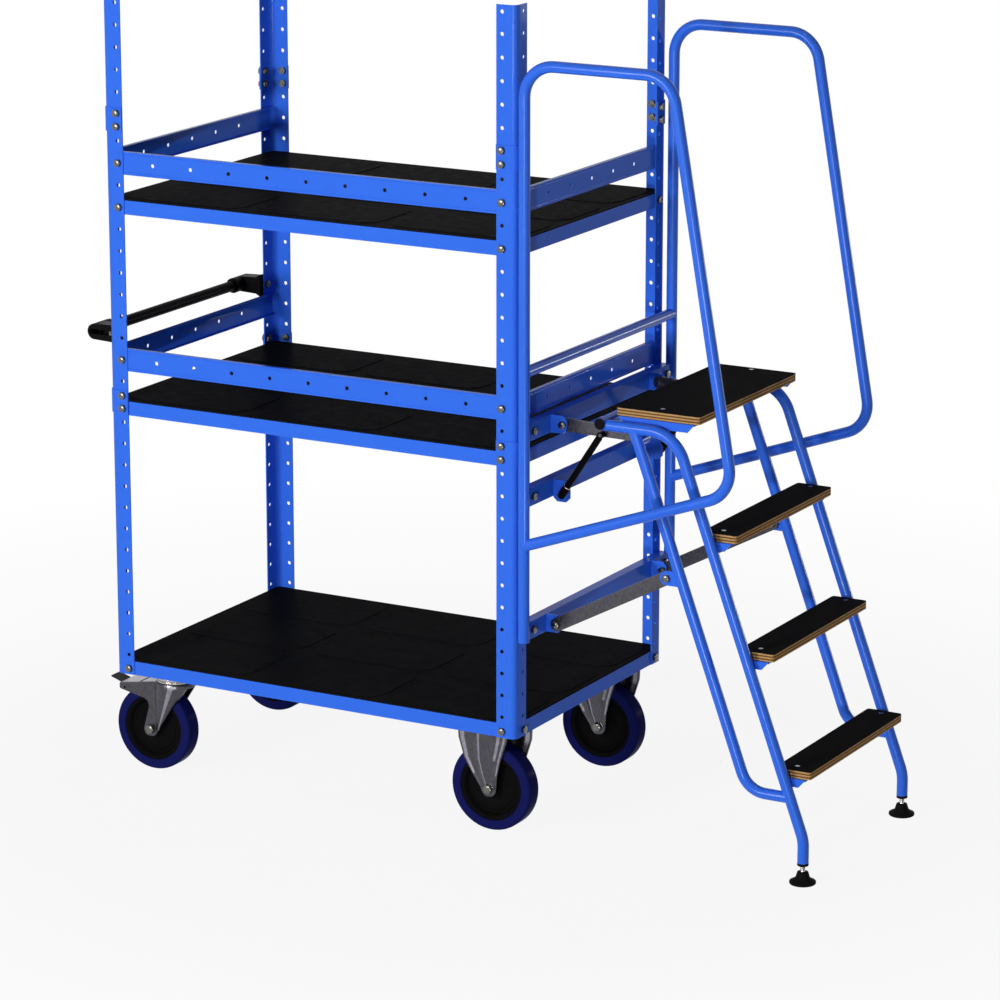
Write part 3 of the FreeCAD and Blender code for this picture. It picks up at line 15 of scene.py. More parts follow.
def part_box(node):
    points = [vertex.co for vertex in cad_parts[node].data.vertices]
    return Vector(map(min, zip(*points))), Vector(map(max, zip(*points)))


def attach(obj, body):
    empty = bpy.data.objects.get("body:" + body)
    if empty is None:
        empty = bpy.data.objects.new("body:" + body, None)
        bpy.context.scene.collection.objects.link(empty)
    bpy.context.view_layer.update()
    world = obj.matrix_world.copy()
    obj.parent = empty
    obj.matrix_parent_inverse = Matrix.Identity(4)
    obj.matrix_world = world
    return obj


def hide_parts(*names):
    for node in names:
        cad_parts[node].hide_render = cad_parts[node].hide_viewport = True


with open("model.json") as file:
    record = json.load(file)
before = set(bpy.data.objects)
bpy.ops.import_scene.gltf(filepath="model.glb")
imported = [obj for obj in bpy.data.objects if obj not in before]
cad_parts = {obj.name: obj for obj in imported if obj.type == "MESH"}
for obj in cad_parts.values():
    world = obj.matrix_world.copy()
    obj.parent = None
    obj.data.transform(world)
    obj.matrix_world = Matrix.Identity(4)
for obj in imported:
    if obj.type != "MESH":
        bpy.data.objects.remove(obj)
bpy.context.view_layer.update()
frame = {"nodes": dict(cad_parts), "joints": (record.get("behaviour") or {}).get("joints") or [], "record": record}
MM = 0.001
BODY_OF = {node: body for body, nodes in frame["record"]["behaviour"]["bodies"].items() for node in nodes}

# %% [markdown]
# ## Helpers for finishes
# A finish is a small node tree. Colours are written as they look on a screen, from 0 to 255, and
# turned into the linear values that a shader wants. Small helpers add a node and open a new material
# or node group, so that each finish below reads as a short list of what it is made of.

# %% Colours, nodes and groups


def screen(red, green, blue):
    # The usual curve from the values of a screen to amounts of light
    parts = [part / 255 for part in (red, green, blue)]
    return [((part + 0.055) / 1.055) ** 2.4 if part > 0.04 else part / 12.92 for part in parts] + [1.0]


def add(tree, kind, **values):
    # A word that is an input's label fills that input, any other word is a setting of the node
    node = tree.nodes.new(kind)
    for word, value in values.items():
        label = word.replace("_", " ").title()
        if label in node.inputs:
            node.inputs[label].default_value = value
        else:
            setattr(node, word, value)
    return node


def new_group(name, inputs, outputs):
    group = bpy.data.node_groups.new(name, "ShaderNodeTree")
    for label, kind in inputs.items():
        group.interface.new_socket(label, in_out="INPUT", socket_type="NodeSocket" + kind)
    for label, kind in outputs.items():
        group.interface.new_socket(label, in_out="OUTPUT", socket_type="NodeSocket" + kind)
    return group, group.nodes.new("NodeGroupInput").outputs, group.nodes.new("NodeGroupOutput").inputs


def new_material(name):
    material = bpy.data.materials.new(name)
    material.use_nodes = True
    return material, material.node_tree, material.node_tree.nodes["Principled BSDF"]


def object_place(tree):
    return add(tree, "ShaderNodeTexCoord").outputs["Object"]


# Places of the two colours and of the mixed one among the sockets of a mix node
COLOUR_A = 6
COLOUR_B = 7
MIXED = 2
print("middle grey on a screen is", round(screen(128, 128, 128)[0], 3), "of the light of white")

# %% [markdown]
# ## The grain of a coat
# Powder paint, moulded plastic and rubber all have a fine skin: small bumps, a shine that changes a
# little from place to place, and a colour that is never quite even. Each finish could hold its own
# nodes for these three, but one group keeps them alike, and a finish only gives it colours and a grain
# size. It puts out a colour, a roughness and a height.

# %% Coat grain group
TAKES = {"Colour": "Color", "Tone": "Color", "Grain": "Float", "Smooth": "Float", "Rough": "Float"}
GIVES = {"Colour": "Color", "Roughness": "Float", "Height": "Float"}
coat_grain, given, result = new_group("coat_grain", TAKES, GIVES)
place = object_place(coat_grain)
cloud = add(coat_grain, "ShaderNodeTexNoise", scale=7.0, detail=3.0)
patch = add(coat_grain, "ShaderNodeTexNoise", scale=45.0, detail=4.0)
bumps = add(coat_grain, "ShaderNodeTexNoise", detail=2.0)
mix = add(coat_grain, "ShaderNodeMix", data_type="RGBA")
span = add(coat_grain, "ShaderNodeMapRange", from_min=0.3, from_max=0.7)
for texture in (cloud, patch, bumps):
    coat_grain.links.new(place, texture.inputs["Vector"])
coat_grain.links.new(given["Grain"], bumps.inputs["Scale"])
coat_grain.links.new(cloud.outputs["Fac"], mix.inputs[0])
coat_grain.links.new(given["Colour"], mix.inputs[COLOUR_A])
coat_grain.links.new(given["Tone"], mix.inputs[COLOUR_B])
coat_grain.links.new(patch.outputs["Fac"], span.inputs["Value"])
coat_grain.links.new(given["Smooth"], span.inputs["To Min"])
coat_grain.links.new(given["Rough"], span.inputs["To Max"])
coat_grain.links.new(mix.outputs[MIXED], result["Colour"])
coat_grain.links.new(span.outputs["Result"], result["Roughness"])
coat_grain.links.new(bumps.outputs["Fac"], result["Height"])
print("group", coat_grain.name, "with", len(coat_grain.nodes), "nodes")

# %% [markdown]
# ## The bloom of zinc
# Plated steel is grey metal with soft clouds and small crystals. Two textures of very different size
# do it: a cell pattern for the crystals and a stretched noise for the marks of rolling and pressing.

# %% Zinc bloom group
zinc_bloom, given, result = new_group("zinc_bloom", TAKES, GIVES)
place = object_place(zinc_bloom)
stretch = add(zinc_bloom, "ShaderNodeMapping", scale=(1.0, 1.0, 0.7))
crystals = add(zinc_bloom, "ShaderNodeTexVoronoi", feature="F1")
marks = add(zinc_bloom, "ShaderNodeTexNoise", scale=160.0, detail=5.0)
both = add(zinc_bloom, "ShaderNodeMath", operation="ADD", use_clamp=True)
half = add(zinc_bloom, "ShaderNodeMath", operation="MULTIPLY")
half.inputs[1].default_value = 0.5
mix = add(zinc_bloom, "ShaderNodeMix", data_type="RGBA")
span = add(zinc_bloom, "ShaderNodeMapRange", from_min=0.2, from_max=0.8)
zinc_bloom.links.new(place, stretch.inputs["Vector"])
zinc_bloom.links.new(stretch.outputs["Vector"], marks.inputs["Vector"])
zinc_bloom.links.new(place, crystals.inputs["Vector"])
zinc_bloom.links.new(given["Grain"], crystals.inputs["Scale"])
zinc_bloom.links.new(crystals.outputs["Color"], half.inputs[0])
zinc_bloom.links.new(half.outputs["Value"], both.inputs[0])
zinc_bloom.links.new(marks.outputs["Fac"], both.inputs[1])
zinc_bloom.links.new(both.outputs["Value"], mix.inputs[0])
zinc_bloom.links.new(given["Colour"], mix.inputs[COLOUR_A])
zinc_bloom.links.new(given["Tone"], mix.inputs[COLOUR_B])
zinc_bloom.links.new(marks.outputs["Fac"], span.inputs["Value"])
zinc_bloom.links.new(given["Smooth"], span.inputs["To Min"])
zinc_bloom.links.new(given["Rough"], span.inputs["To Max"])
zinc_bloom.links.new(mix.outputs[MIXED], result["Colour"])
zinc_bloom.links.new(span.outputs["Result"], result["Roughness"])
zinc_bloom.links.new(marks.outputs["Fac"], result["Height"])
print("group", zinc_bloom.name, "with", len(zinc_bloom.nodes), "nodes")

# %% [markdown]
# ## The finishes
# Each finish is one shader with one of the two groups in front of it. Only what changes over the
# surface goes through the group. What is the same all over, such as metallic, is set on the shader.
# Tubes are painted with more gloss than sheet. A brighter zinc is a painted highlight, laid on the faces
# of the forks that would catch the light, and the steel of bolts is darker than that of a ground plate.

# %% Finishes from the two groups
COAT_RELIEF = 0.3 * MM


def finish(name, group, colour, tone, grain, smooth, rough, bump, metallic, shine):
    material, tree, shader = new_material(name)
    skin = add(tree, "ShaderNodeGroup", node_tree=group)
    values = {"Colour": screen(*colour), "Tone": screen(*tone), "Grain": grain, "Smooth": smooth,
              "Rough": rough}
    for label, value in values.items():
        skin.inputs[label].default_value = value
    relief = add(tree, "ShaderNodeBump", strength=bump, distance=COAT_RELIEF)
    tree.links.new(skin.outputs["Height"], relief.inputs["Height"])
    tree.links.new(relief.outputs["Normal"], shader.inputs["Normal"])
    tree.links.new(skin.outputs["Colour"], shader.inputs["Base Color"])
    tree.links.new(skin.outputs["Roughness"], shader.inputs["Roughness"])
    shader.inputs["Metallic"].default_value = metallic
    shader.inputs["Specular IOR Level"].default_value = shine
    return material


# Each row: the group, two colours, the grain, the range of roughness, the relief, metallic and the shine
TABLE = {
    "blue_paint": (coat_grain, (57, 116, 240), (53, 110, 234), 900, 0.09, 0.14, 0.02, 0.0, 0.042),
    "tube_paint": (coat_grain, (47, 111, 237), (43, 105, 231), 900, 0.18, 0.24, 0.02, 0.0, 0.2),
    "tray_black": (coat_grain, (26, 26, 27), (31, 31, 32), 700, 0.36, 0.5, 0.12, 0.0, 0.001),
    "handle_black": (coat_grain, (16, 16, 17), (21, 21, 22), 800, 0.3, 0.42, 0.12, 0.0, 0.015),
    "plastic_black": (coat_grain, (19, 19, 20), (26, 26, 27), 500, 0.4, 0.55, 0.15, 0.0, 0.01),
    "zinc": (zinc_bloom, (64, 63, 68), (84, 83, 89), 220, 0.2, 0.34, 0.06, 0.95, 0.3),
    # Painted highlight: a lighter zinc that stands in for the light that the forks would reflect
    "zinc_painted_highlight": (zinc_bloom, (106, 104, 114), (150, 148, 158), 220, 0.2, 0.34, 0.06, 0.95, 0.3),
    "bright_steel": (zinc_bloom, (150, 147, 142), (186, 183, 178), 500, 0.16, 0.28, 0.04, 1.0, 0.5),
    "bolt_steel": (zinc_bloom, (84, 82, 80), (118, 116, 112), 300, 0.14, 0.24, 0.04, 1.0, 0.5),
    "pedal_black": (coat_grain, (40, 40, 42), (52, 52, 54), 600, 0.36, 0.5, 0.12, 0.0, 0.05),
    "gas_black": (coat_grain, (8, 8, 9), (12, 11, 13), 700, 0.22, 0.32, 0.04, 0.0, 0.02),
    "tyre_navy": (coat_grain, (26, 30, 92), (22, 26, 80), 600, 0.2, 0.34, 0.06, 0.0, 0.004),
    "hub_black": (coat_grain, (13, 12, 13), (18, 17, 18), 500, 0.34, 0.48, 0.12, 0.0, 0.01),
}
FINISHES = {name: finish(name, *row) for name, row in TABLE.items()}
print("finishes:", ", ".join(FINISHES))

# %% [markdown]
# ## Plywood and its black face
# A tread is birch plywood: thin sheets, glued with the grain turned by a quarter from one to the
# next. Its edge shows them as pale and dark lines. The sheets are made as real layers of the board
# further below, so two wood finishes are enough. The top is a black film pressed with a fine net.

# %% Wood and film finishes
TREAD_RELIEF = 0.4 * MM


def veneer(name, pale, dark, stretch):
    material, tree, shader = new_material(name)
    along = add(tree, "ShaderNodeMapping", scale=stretch)
    fibre = add(tree, "ShaderNodeTexNoise", scale=300.0, detail=6.0, roughness=0.65)
    tint = add(tree, "ShaderNodeMix", data_type="RGBA")
    tint.inputs[COLOUR_A].default_value = pale
    tint.inputs[COLOUR_B].default_value = dark
    relief = add(tree, "ShaderNodeBump", strength=0.35, distance=TREAD_RELIEF)
    tree.links.new(object_place(tree), along.inputs["Vector"])
    tree.links.new(along.outputs["Vector"], fibre.inputs["Vector"])
    tree.links.new(fibre.outputs["Fac"], tint.inputs[0])
    tree.links.new(fibre.outputs["Fac"], relief.inputs["Height"])
    tree.links.new(tint.outputs[MIXED], shader.inputs["Base Color"])
    tree.links.new(relief.outputs["Normal"], shader.inputs["Normal"])
    shader.inputs["Roughness"].default_value = 0.62
    shader.inputs["Specular IOR Level"].default_value = 0.05
    return material


def net_film(name):
    material, tree, shader = new_material(name)
    net = add(tree, "ShaderNodeTexVoronoi", feature="F1", distance="CHEBYCHEV", scale=420.0, randomness=0.0)
    wear = add(tree, "ShaderNodeTexNoise", scale=30.0, detail=5.0)
    tint = add(tree, "ShaderNodeMix", data_type="RGBA")
    tint.inputs[COLOUR_A].default_value = screen(28, 28, 29)
    tint.inputs[COLOUR_B].default_value = screen(42, 41, 41)
    span = add(tree, "ShaderNodeMapRange", from_min=0.3, from_max=0.7, to_min=0.5, to_max=0.68)
    relief = add(tree, "ShaderNodeBump", strength=0.4, distance=TREAD_RELIEF)
    place = object_place(tree)
    tree.links.new(place, net.inputs["Vector"])
    tree.links.new(place, wear.inputs["Vector"])
    tree.links.new(wear.outputs["Fac"], tint.inputs[0])
    tree.links.new(wear.outputs["Fac"], span.inputs["Value"])
    tree.links.new(net.outputs["Distance"], relief.inputs["Height"])
    tree.links.new(tint.outputs[MIXED], shader.inputs["Base Color"])
    tree.links.new(span.outputs["Result"], shader.inputs["Roughness"])
    tree.links.new(relief.outputs["Normal"], shader.inputs["Normal"])
    shader.inputs["Specular IOR Level"].default_value = 0.001
    return material


ply_long = veneer("ply_long", screen(226, 184, 122), screen(150, 108, 62), (0.4, 0.2, 1.0))
ply_cross = veneer("ply_cross", screen(138, 98, 56), screen(72, 48, 26), (0.2, 0.4, 1.0))
tread_film = net_film("tread_film")
print("tread finishes:", ply_long.name, ply_cross.name, tread_film.name)

# %% [markdown]
# ## Helpers for pieces
# A piece starts as a bmesh and ends as an object at the origin that rides on a body of the frame.
# Smooth shading with sharp edges by angle keeps tubes round and folds crisp, and a narrow Bevel
# modifier gives each fold the small bright line that real edges have.

# %% Pieces
SHARP = math.radians(32)
ALMOST_FLAT = math.radians(0.5)
SEAM = 0.005 * MM


def show(name, work, slots, like, nodes=(), edge=0.0, materials=None):
    mesh = bpy.data.meshes.new(name)
    work.to_mesh(mesh)
    work.free()
    mesh.shade_smooth()
    mesh.set_sharp_from_angle(angle=SHARP)
    for material in materials or [FINISHES[slots]]:
        mesh.materials.append(material)
    shown = bpy.data.objects.new(name, mesh)
    bpy.context.scene.collection.objects.link(shown)
    if edge:
        soft = shown.modifiers.new("soft_edges", "BEVEL")
        soft.width = edge
        soft.segments = 2
        soft.limit_method = "ANGLE"
        soft.angle_limit = SHARP
        soft.harden_normals = True
    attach(shown, BODY_OF[like])
    if nodes:
        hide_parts(*nodes)
    return shown


def merged(node):
    # A copy of a solid whose loose triangles are joined into whole faces
    work = bmesh.new()
    work.from_mesh(frame["nodes"][node].data)
    bmesh.ops.remove_doubles(work, verts=work.verts, dist=SEAM)
    bmesh.ops.dissolve_limit(work, angle_limit=ALMOST_FLAT, verts=work.verts, edges=work.edges)
    return work


print("edges are sharp from", round(math.degrees(SHARP)), "degrees on")

# %% [markdown]
# ## Folded sheet and bent tube
# These solids already have their real shape: slotted posts, pans, rails, beams, tubes and brackets.
# They could be drawn anew, but the solids already hold every slot and hole, so a merged copy with soft
# edges is all that they need. Each row gives a slot, a finish, the radius of the edges and the solids,
# and the loop makes one skin for each of them. The gloss of the tubes draws a bright line along them.

# %% Skins of the plain solids
PLAIN = (
    ("blue_paint", "blue_paint", 0.7, (
        "base_deck", "middle_shelf", "upper_shelf", "post_front_left", "post_front_right", "post_rear_left",
        "post_rear_right", "splice_plates", "front_rails", "left_rails", "right_rails", "crossbeam_upper",
        "crossbeam_middle", "crossbeam_lower")),
    ("blue_paint", "tube_paint", 0.4, (
        "handrail_front", "handrail_rear", "handrail_crossbar", "stringer_front", "stringer_rear",
        "stay_front", "stay_rear", "ladder_cross_tube")),
    ("blue_paint", "blue_paint", 0.4, ("tread_brackets",)),
    ("handle_black", "handle_black", 1.5, ("push_handle", "handle_brackets")),
    ("plastic_black", "plastic_black", 0.8, ("ladder_plugs",)),
    ("zinc", "zinc", 0.6, ("upper_links", "lower_links")),
    ("pedal_black", "pedal_black", 0.6, ("brake_pedal_front", "brake_pedal_rear")),
    ("gas_black", "gas_black", 0.8, ("gas_cylinder_front", "gas_cylinder_rear")),
)
for slot, coat, edge, nodes in PLAIN:
    for node in nodes:
        show(node + "_skin", merged(node), slot, node, [node], edge * MM, [FINISHES[coat]])
print("plain skins:", sum(len(row[-1]) for row in PLAIN))

# %% [markdown]
# ## Crowned bolt heads
# A cold formed hexagon head isn't flat on top: it's turned off at the corners and slightly crowned,
# which is why each head shows one bright spot. A head is found as a face with six equal sides. Three
# insets, each a little less steep than the last, raise it to a crown, and all heads are done at once.

# %% Bolt heads
HEX_SIDES = 6
ALMOST_EVEN = 1.05
HEAD_EDGE = 0.3 * MM
# Each step of the crown holds how far in and how far up it goes
CROWN_STEPS = ((1.6, 1.0), (2.2, 0.7), (2.2, 0.25))


def hexagons(work):
    found = []
    for face in work.faces:
        sides = [edge.calc_length() for edge in face.edges]
        if len(sides) == HEX_SIDES and max(sides) < ALMOST_EVEN * min(sides):
            found.append(face)
    return found


for node in ("frame_bolts", "ladder_fasteners", "fixed_axles", "swivel_axle_front", "swivel_axle_rear"):
    work = merged(node)
    heads = hexagons(work)
    for width, rise in CROWN_STEPS:
        bmesh.ops.inset_individual(work, faces=heads, thickness=width * MM, depth=rise * MM)
    show(node + "_skin", work, "bright_steel", node, [node], HEAD_EDGE, [FINISHES["bolt_steel"]])
    print("crowned heads on", node, len(heads))

# %% [markdown]
# ## Fold lines of the rails
# A rail is stiffened by a shallow bead along each long edge, which shows as a pair of thin lines.
# The bead is a long cube with its outer edges rounded. It could be pressed into the rail itself, but
# a bead laid on the face keeps the skin simple. It stops short of the posts, which cover the ends.

# %% Rail beads
RAIL_HEIGHT = 52 * MM
BEAD_INSET = 5.5 * MM
BEAD_WIDTH = 2.6 * MM
BEAD_PROUD = 0.9 * MM
BEAD_ROUND = 0.8 * MM
POST_COVER = 34 * MM
RAILS = {"front_rails": (1, -1), "left_rails": (0, -1), "right_rails": (0, 1)}
for node, (across, outward) in RAILS.items():
    low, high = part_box(node)
    along = 1 - across
    work = bmesh.new()
    for level in (low.z, low.z + RAIL_HEIGHT, high.z - RAIL_HEIGHT, high.z):
        inward = 1 if level in (low.z, high.z - RAIL_HEIGHT) else -1
        spot = (low + high) / 2
        spot[across] = high[across] if outward > 0 else low[across]
        spot.z = level + inward * BEAD_INSET
        size = Vector((0, 0, BEAD_WIDTH))
        size[along] = high[along] - low[along] - 2 * POST_COVER
        size[across] = 2 * BEAD_PROUD
        lay = Matrix.Translation(spot) @ Matrix.Diagonal((*size, 1))
        bead = bmesh.ops.create_cube(work, size=1, matrix=lay)
        long_edges = [edge for edge in {edge for vert in bead["verts"] for edge in vert.link_edges}
                      if abs(edge.verts[0].co[along] - edge.verts[1].co[along]) > BEAD_WIDTH]
        bmesh.ops.bevel(work, geom=long_edges, offset=BEAD_ROUND, segments=2, affect="EDGES", profile=0.5,
                        material=-1)
    show(node + "_beads", work, "blue_paint", node)
print("rail beads on", len(RAILS), "sets of rails")

# %% [markdown]
# ## Embossed trays
# Each shelf holds a black sheet pressed into nine shallow panels with round corners. A panel is a
# cube whose four upright edges get a wide bevel and whose top edges get a narrow one. The grid is
# worked out from the tray's own box, so the panels always fit the sheet.

# %% Trays
TRAY_WALL = 2.5 * MM
PANEL_RISE = 1.2 * MM
PANEL_GAP = 28 * MM
TRAY_MARGIN = 16 * MM
PANEL_CORNER = 45 * MM
CORNER_STEPS = 8
ROWS = 3


def tray_panels(work, low, high, top):
    span = [(high[axis] - low[axis] - 2 * TRAY_MARGIN - (ROWS - 1) * PANEL_GAP) / ROWS for axis in (0, 1)]
    for column in range(ROWS):
        for row in range(ROWS):
            middle = [low[axis] + TRAY_MARGIN + span[axis] / 2 + step * (span[axis] + PANEL_GAP)
                      for axis, step in ((0, column), (1, row))]
            size = Matrix.Diagonal((span[0], span[1], 2 * PANEL_RISE, 1))
            spot = Matrix.Translation((middle[0], middle[1], top))
            panel = bmesh.ops.create_cube(work, size=1, matrix=spot @ size)["verts"]
            upright = [edge for edge in {edge for vert in panel for edge in vert.link_edges}
                       if abs(edge.verts[0].co.z - edge.verts[1].co.z) > PANEL_RISE]
            bmesh.ops.bevel(work, geom=upright, offset=PANEL_CORNER, segments=CORNER_STEPS, affect="EDGES",
                            profile=0.5, material=-1)


for node in ("base_tray", "shelf_trays"):
    low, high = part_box(node)
    work = merged(node)
    for top in sorted({round(level, 5) for level in (low.z + TRAY_WALL, high.z)}):
        tray_panels(work, low, high, top)
    show(node + "_skin", work, "tray_black", node, [node], 0.8 * MM)
print("trays with", ROWS * ROWS, "panels each")

# %% [markdown]
# ## Wheels
# A wheel is a moulded black centre with a blue elastic tread round it. Both are turned shapes, so a
# half section is drawn as one face, its corners are rounded with a vertex bevel, and its outline is
# spun round the axle. The bevel keeps the section to the few points that matter.

# %% Turned shapes
WHEEL_STEPS = 72
ROUND_STEPS = 5
TURN_SEAM = 0.01 * MM
AXLE = Vector((0, 1, 0))


def turned(section, centre, axis, rounded=None, steps=WHEEL_STEPS):
    # The section holds radius and distance along the axle, in millimetres
    work = bmesh.new()
    across = axis.orthogonal().normalized()
    spots = [centre + across * (radius * MM) + axis * (reach * MM) for radius, reach in section]
    corners = [work.verts.new(spot) for spot in spots]
    work.faces.new(corners)
    for radius, picked in (rounded or {}).items():
        bmesh.ops.bevel(work, geom=[corners[index] for index in picked], offset=radius * MM,
                        segments=ROUND_STEPS, affect="VERTICES", profile=0.5, material=-1)
    faces = list(work.faces)
    edges = list(work.edges)
    bmesh.ops.delete(work, geom=faces, context="FACES_ONLY")
    bmesh.ops.spin(work, geom=list(work.verts) + edges, cent=centre, axis=axis, angle=math.tau, steps=steps,
                   use_merge=True)
    bmesh.ops.remove_doubles(work, verts=work.verts, dist=TURN_SEAM)
    bmesh.ops.recalc_face_normals(work, faces=work.faces)
    return work


def both_sides(half):
    return half + [(radius, -reach) for radius, reach in reversed(half)]


TYRE = both_sides([(77, 21.5), (78.5, 23), (95.5, 23), (100, 18.5)])
TYRE_ROUND = {2.5: (2, 3, 4, 5)}
CENTRE = both_sides([(6.3, 27), (14, 27), (17, 25), (18, 14), (31, 11), (34, 12.5), (53, 12.5), (57, 10),
                     (61, 10), (66.5, 18), (68.5, 20.5), (77, 20.5)])
for side in ("front", "rear"):
    for end in ("left", "right"):
        node = f"hub_{side}_{end}"
        low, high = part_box(node)
        axle = (low + high) / 2
        show(f"wheel_centre_{side}_{end}", turned(CENTRE, axle, AXLE), "hub_black", node, [node], 0.8 * MM)
        node = f"tyre_{side}_{end}"
        show(f"wheel_tread_{side}_{end}", turned(TYRE, axle, AXLE, TYRE_ROUND), "tyre_navy", node, [node])
print("four wheels of", WHEEL_STEPS, "steps")

# %% [markdown]
# ## Fixed forks
# The forks under the ladder end are pressed from zinc plated sheet. Each leg has a flat middle
# panel between two flutes and draws in towards the axle. A folded strip of edges is extruded down,
# level by level, and each new level is scaled to its width, so that the flutes run out at the axle.
# Their steep slopes get a brighter zinc down to a given level, a painted highlight in place of the streaks that
# they would reflect.

# %% A fluted leg
FLUTES = ((-78, -1), (-73, -1), (-64, -3.4), (-56, -3.4), (-47, -1), (-40, -1), (-31, -3.6), (-24, -1.2),
          (21, -1.2), (28, -3.4), (36, -3.4), (43, -1), (47, -1))
# The lowest level of the painted highlight on each slope, by its place in the row of folds
HIGHLIGHT_LOWEST = {1: -110, 6: -141, 8: -76, 10: -110}
# Each level holds its height, its left and right end and the share of the flutes that is left
LEG_LEVELS = ((-10, -78, 47, 1.0), (-31, -77, 43.5, 0.95), (-76, -63, 29, 0.85), (-110, -42, 21, 0.6),
              (-141, -20, 19, 0.15), (-148, -17.7, 17.7, 0.1), (-153, -14.7, 14.7, 0.1),
              (-157, -10.2, 10.2, 0.1), (-159.3, -5.2, 5.2, 0.1), (-160, -1, 1, 0.1))


def fluted_leg():
    # Millimetres, with the axle line at x = 0, outward along y and down along -z
    work = bmesh.new()
    strip = [work.verts.new((x, y, 0)) for x, y in FLUTES]
    edges = [work.edges.new(pair) for pair in zip(strip, strip[1:])]
    left, right, depth = FLUTES[0][0], FLUTES[-1][0], 1.0
    level = 0
    for low, next_left, next_right, next_depth in LEG_LEVELS:
        drawn = bmesh.ops.extrude_edge_only(work, edges=edges)["geom"]
        verts = [item for item in drawn if isinstance(item, bmesh.types.BMVert)]
        edges = [item for item in drawn if isinstance(item, bmesh.types.BMEdge) and
                 all(vert in verts for vert in item.verts)]
        middle = Matrix.Translation((-(left + right) / 2, 0, -level))
        width = (next_right - next_left) / (right - left)
        bmesh.ops.scale(work, vec=(width, next_depth / depth, 1), space=middle, verts=verts)
        shift = ((next_left + next_right - left - right) / 2, 0, low - level)
        bmesh.ops.translate(work, vec=shift, verts=verts)
        # The place of a new face in the row of folds says whether it gets the painted highlight
        middle_left = (left + next_left) / 2
        stretched = (right + next_right - left - next_left) / 2 / (FLUTES[-1][0] - FLUTES[0][0])
        for face in [item for item in drawn if isinstance(item, bmesh.types.BMFace)]:
            along = FLUTES[0][0] + (face.calc_center_median().x - middle_left) / stretched
            column = sum(along > x for x, y in FLUTES) - 1
            face.material_index = 1 if low >= HIGHLIGHT_LOWEST.get(column, 0) else 0
        left, right, depth, level = next_left, next_right, next_depth, low
    return work


print("leg with", len(FLUTES) - 1, "folds and", len(LEG_LEVELS), "levels")

# %% Fixed forks
FORK_WALL = 4
FORK_HALF = 31.3
AXLE_DROP = 145.0
PLATE = (135, 110, 4)
# The second zinc is the painted highlight
ZINC_WITH_HIGHLIGHT = [FINISHES["zinc"], FINISHES["zinc_painted_highlight"]]


def thicken(work, shift):
    # Draws a second wall out of a thin sheet
    wall = bmesh.ops.extrude_face_region(work, geom=list(work.faces))["geom"]
    verts = [item for item in wall if isinstance(item, bmesh.types.BMVert)]
    bmesh.ops.translate(work, vec=shift, verts=verts)
    bmesh.ops.recalc_face_normals(work, faces=work.faces)
    return work


def join(target, part, matrix):
    # Moves a part into place and adds it to the target
    bmesh.ops.transform(part, matrix=matrix, verts=part.verts)
    if matrix.determinant() < 0:
        bmesh.ops.reverse_faces(part, faces=part.faces)
    mesh = bpy.data.meshes.new("part")
    part.to_mesh(mesh)
    part.free()
    target.from_mesh(mesh)
    bpy.data.meshes.remove(mesh)


deck_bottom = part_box("base_deck")[0].z
for side in ("front", "rear"):
    low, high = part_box(f"hub_{side}_right")
    axle = (low + high) / 2
    work = bmesh.new()
    for turn in (1, -1):
        leg = thicken(fluted_leg(), (0, -FORK_WALL, 0))
        bmesh.ops.translate(leg, vec=(0, FORK_HALF, -PLATE[2]), verts=leg.verts)
        spot = Matrix.Translation((axle.x, axle.y, axle.z + AXLE_DROP * MM))
        join(work, leg, spot @ Matrix.Diagonal((-MM * turn, MM * turn, MM, 1)))
    plate = bmesh.new()
    bmesh.ops.create_cube(plate, size=1)
    join(work, plate, Matrix.Translation((axle.x, axle.y, axle.z + (AXLE_DROP - PLATE[2] / 2) * MM))
         @ Matrix.Diagonal([side_length * MM for side_length in PLATE] + [1]))
    node = f"fixed_fork_{side}"
    show(node + "_skin", work, "zinc", node, [node], 0.8 * MM, ZINC_WITH_HIGHLIGHT)
print("fixed forks under a deck at", round(deck_bottom, 3))

# %% [markdown]
# ## Swivel forks
# The steered casters hang on a ball race. The fork is a deep pressing: a round bell under the race,
# two sides that rake back to the axle, and an arm behind that carries the brake pedal. A crease
# divides each side. Behind it lies one flat face whose corners are rounded with a vertex bevel. In
# front of it the round of the bell runs out towards the axle, so an arc of the bell is extruded and
# its lower verts are moved to the foot of the leg. The arm gets its own top plate with a slot across.
# A band of the round and the top plate get the brighter zinc, a painted highlight where they would catch the
# light.

# %% Flat side of a swivel fork
CROWN = -27.0
SHOULDER = CROWN - 2
ARM_END = -135.0
ARM_DROP = -45.0
CREASE = -35.0
TRAIL = -50.0
# The flat side looks like a seven: corners from the end of the arm over the crease down to the axle
SEVEN = ((ARM_END, ARM_DROP), (CREASE, SHOULDER), (CREASE, -150), (TRAIL + 14, -162), (TRAIL - 16, -162),
         (TRAIL - 19, -145), (-53, -88), (-60, -74), (ARM_END, -59))
SEVEN_ROUND = {10: (3, 4), 9: (6, 7), 4: (0, 8)}


def flat_face(corners, rounded):
    work = bmesh.new()
    verts = [work.verts.new((x, 0, z)) for x, z in corners]
    work.faces.new(verts)
    for radius, picked in rounded.items():
        bmesh.ops.bevel(work, geom=[verts[index] for index in picked], offset=radius, segments=ROUND_STEPS,
                        affect="VERTICES", profile=0.5, material=-1)
    bmesh.ops.recalc_face_normals(work, faces=work.faces)
    return work


print("flat side with", len(SEVEN), "corners and an arm of", -ARM_END, "mm")

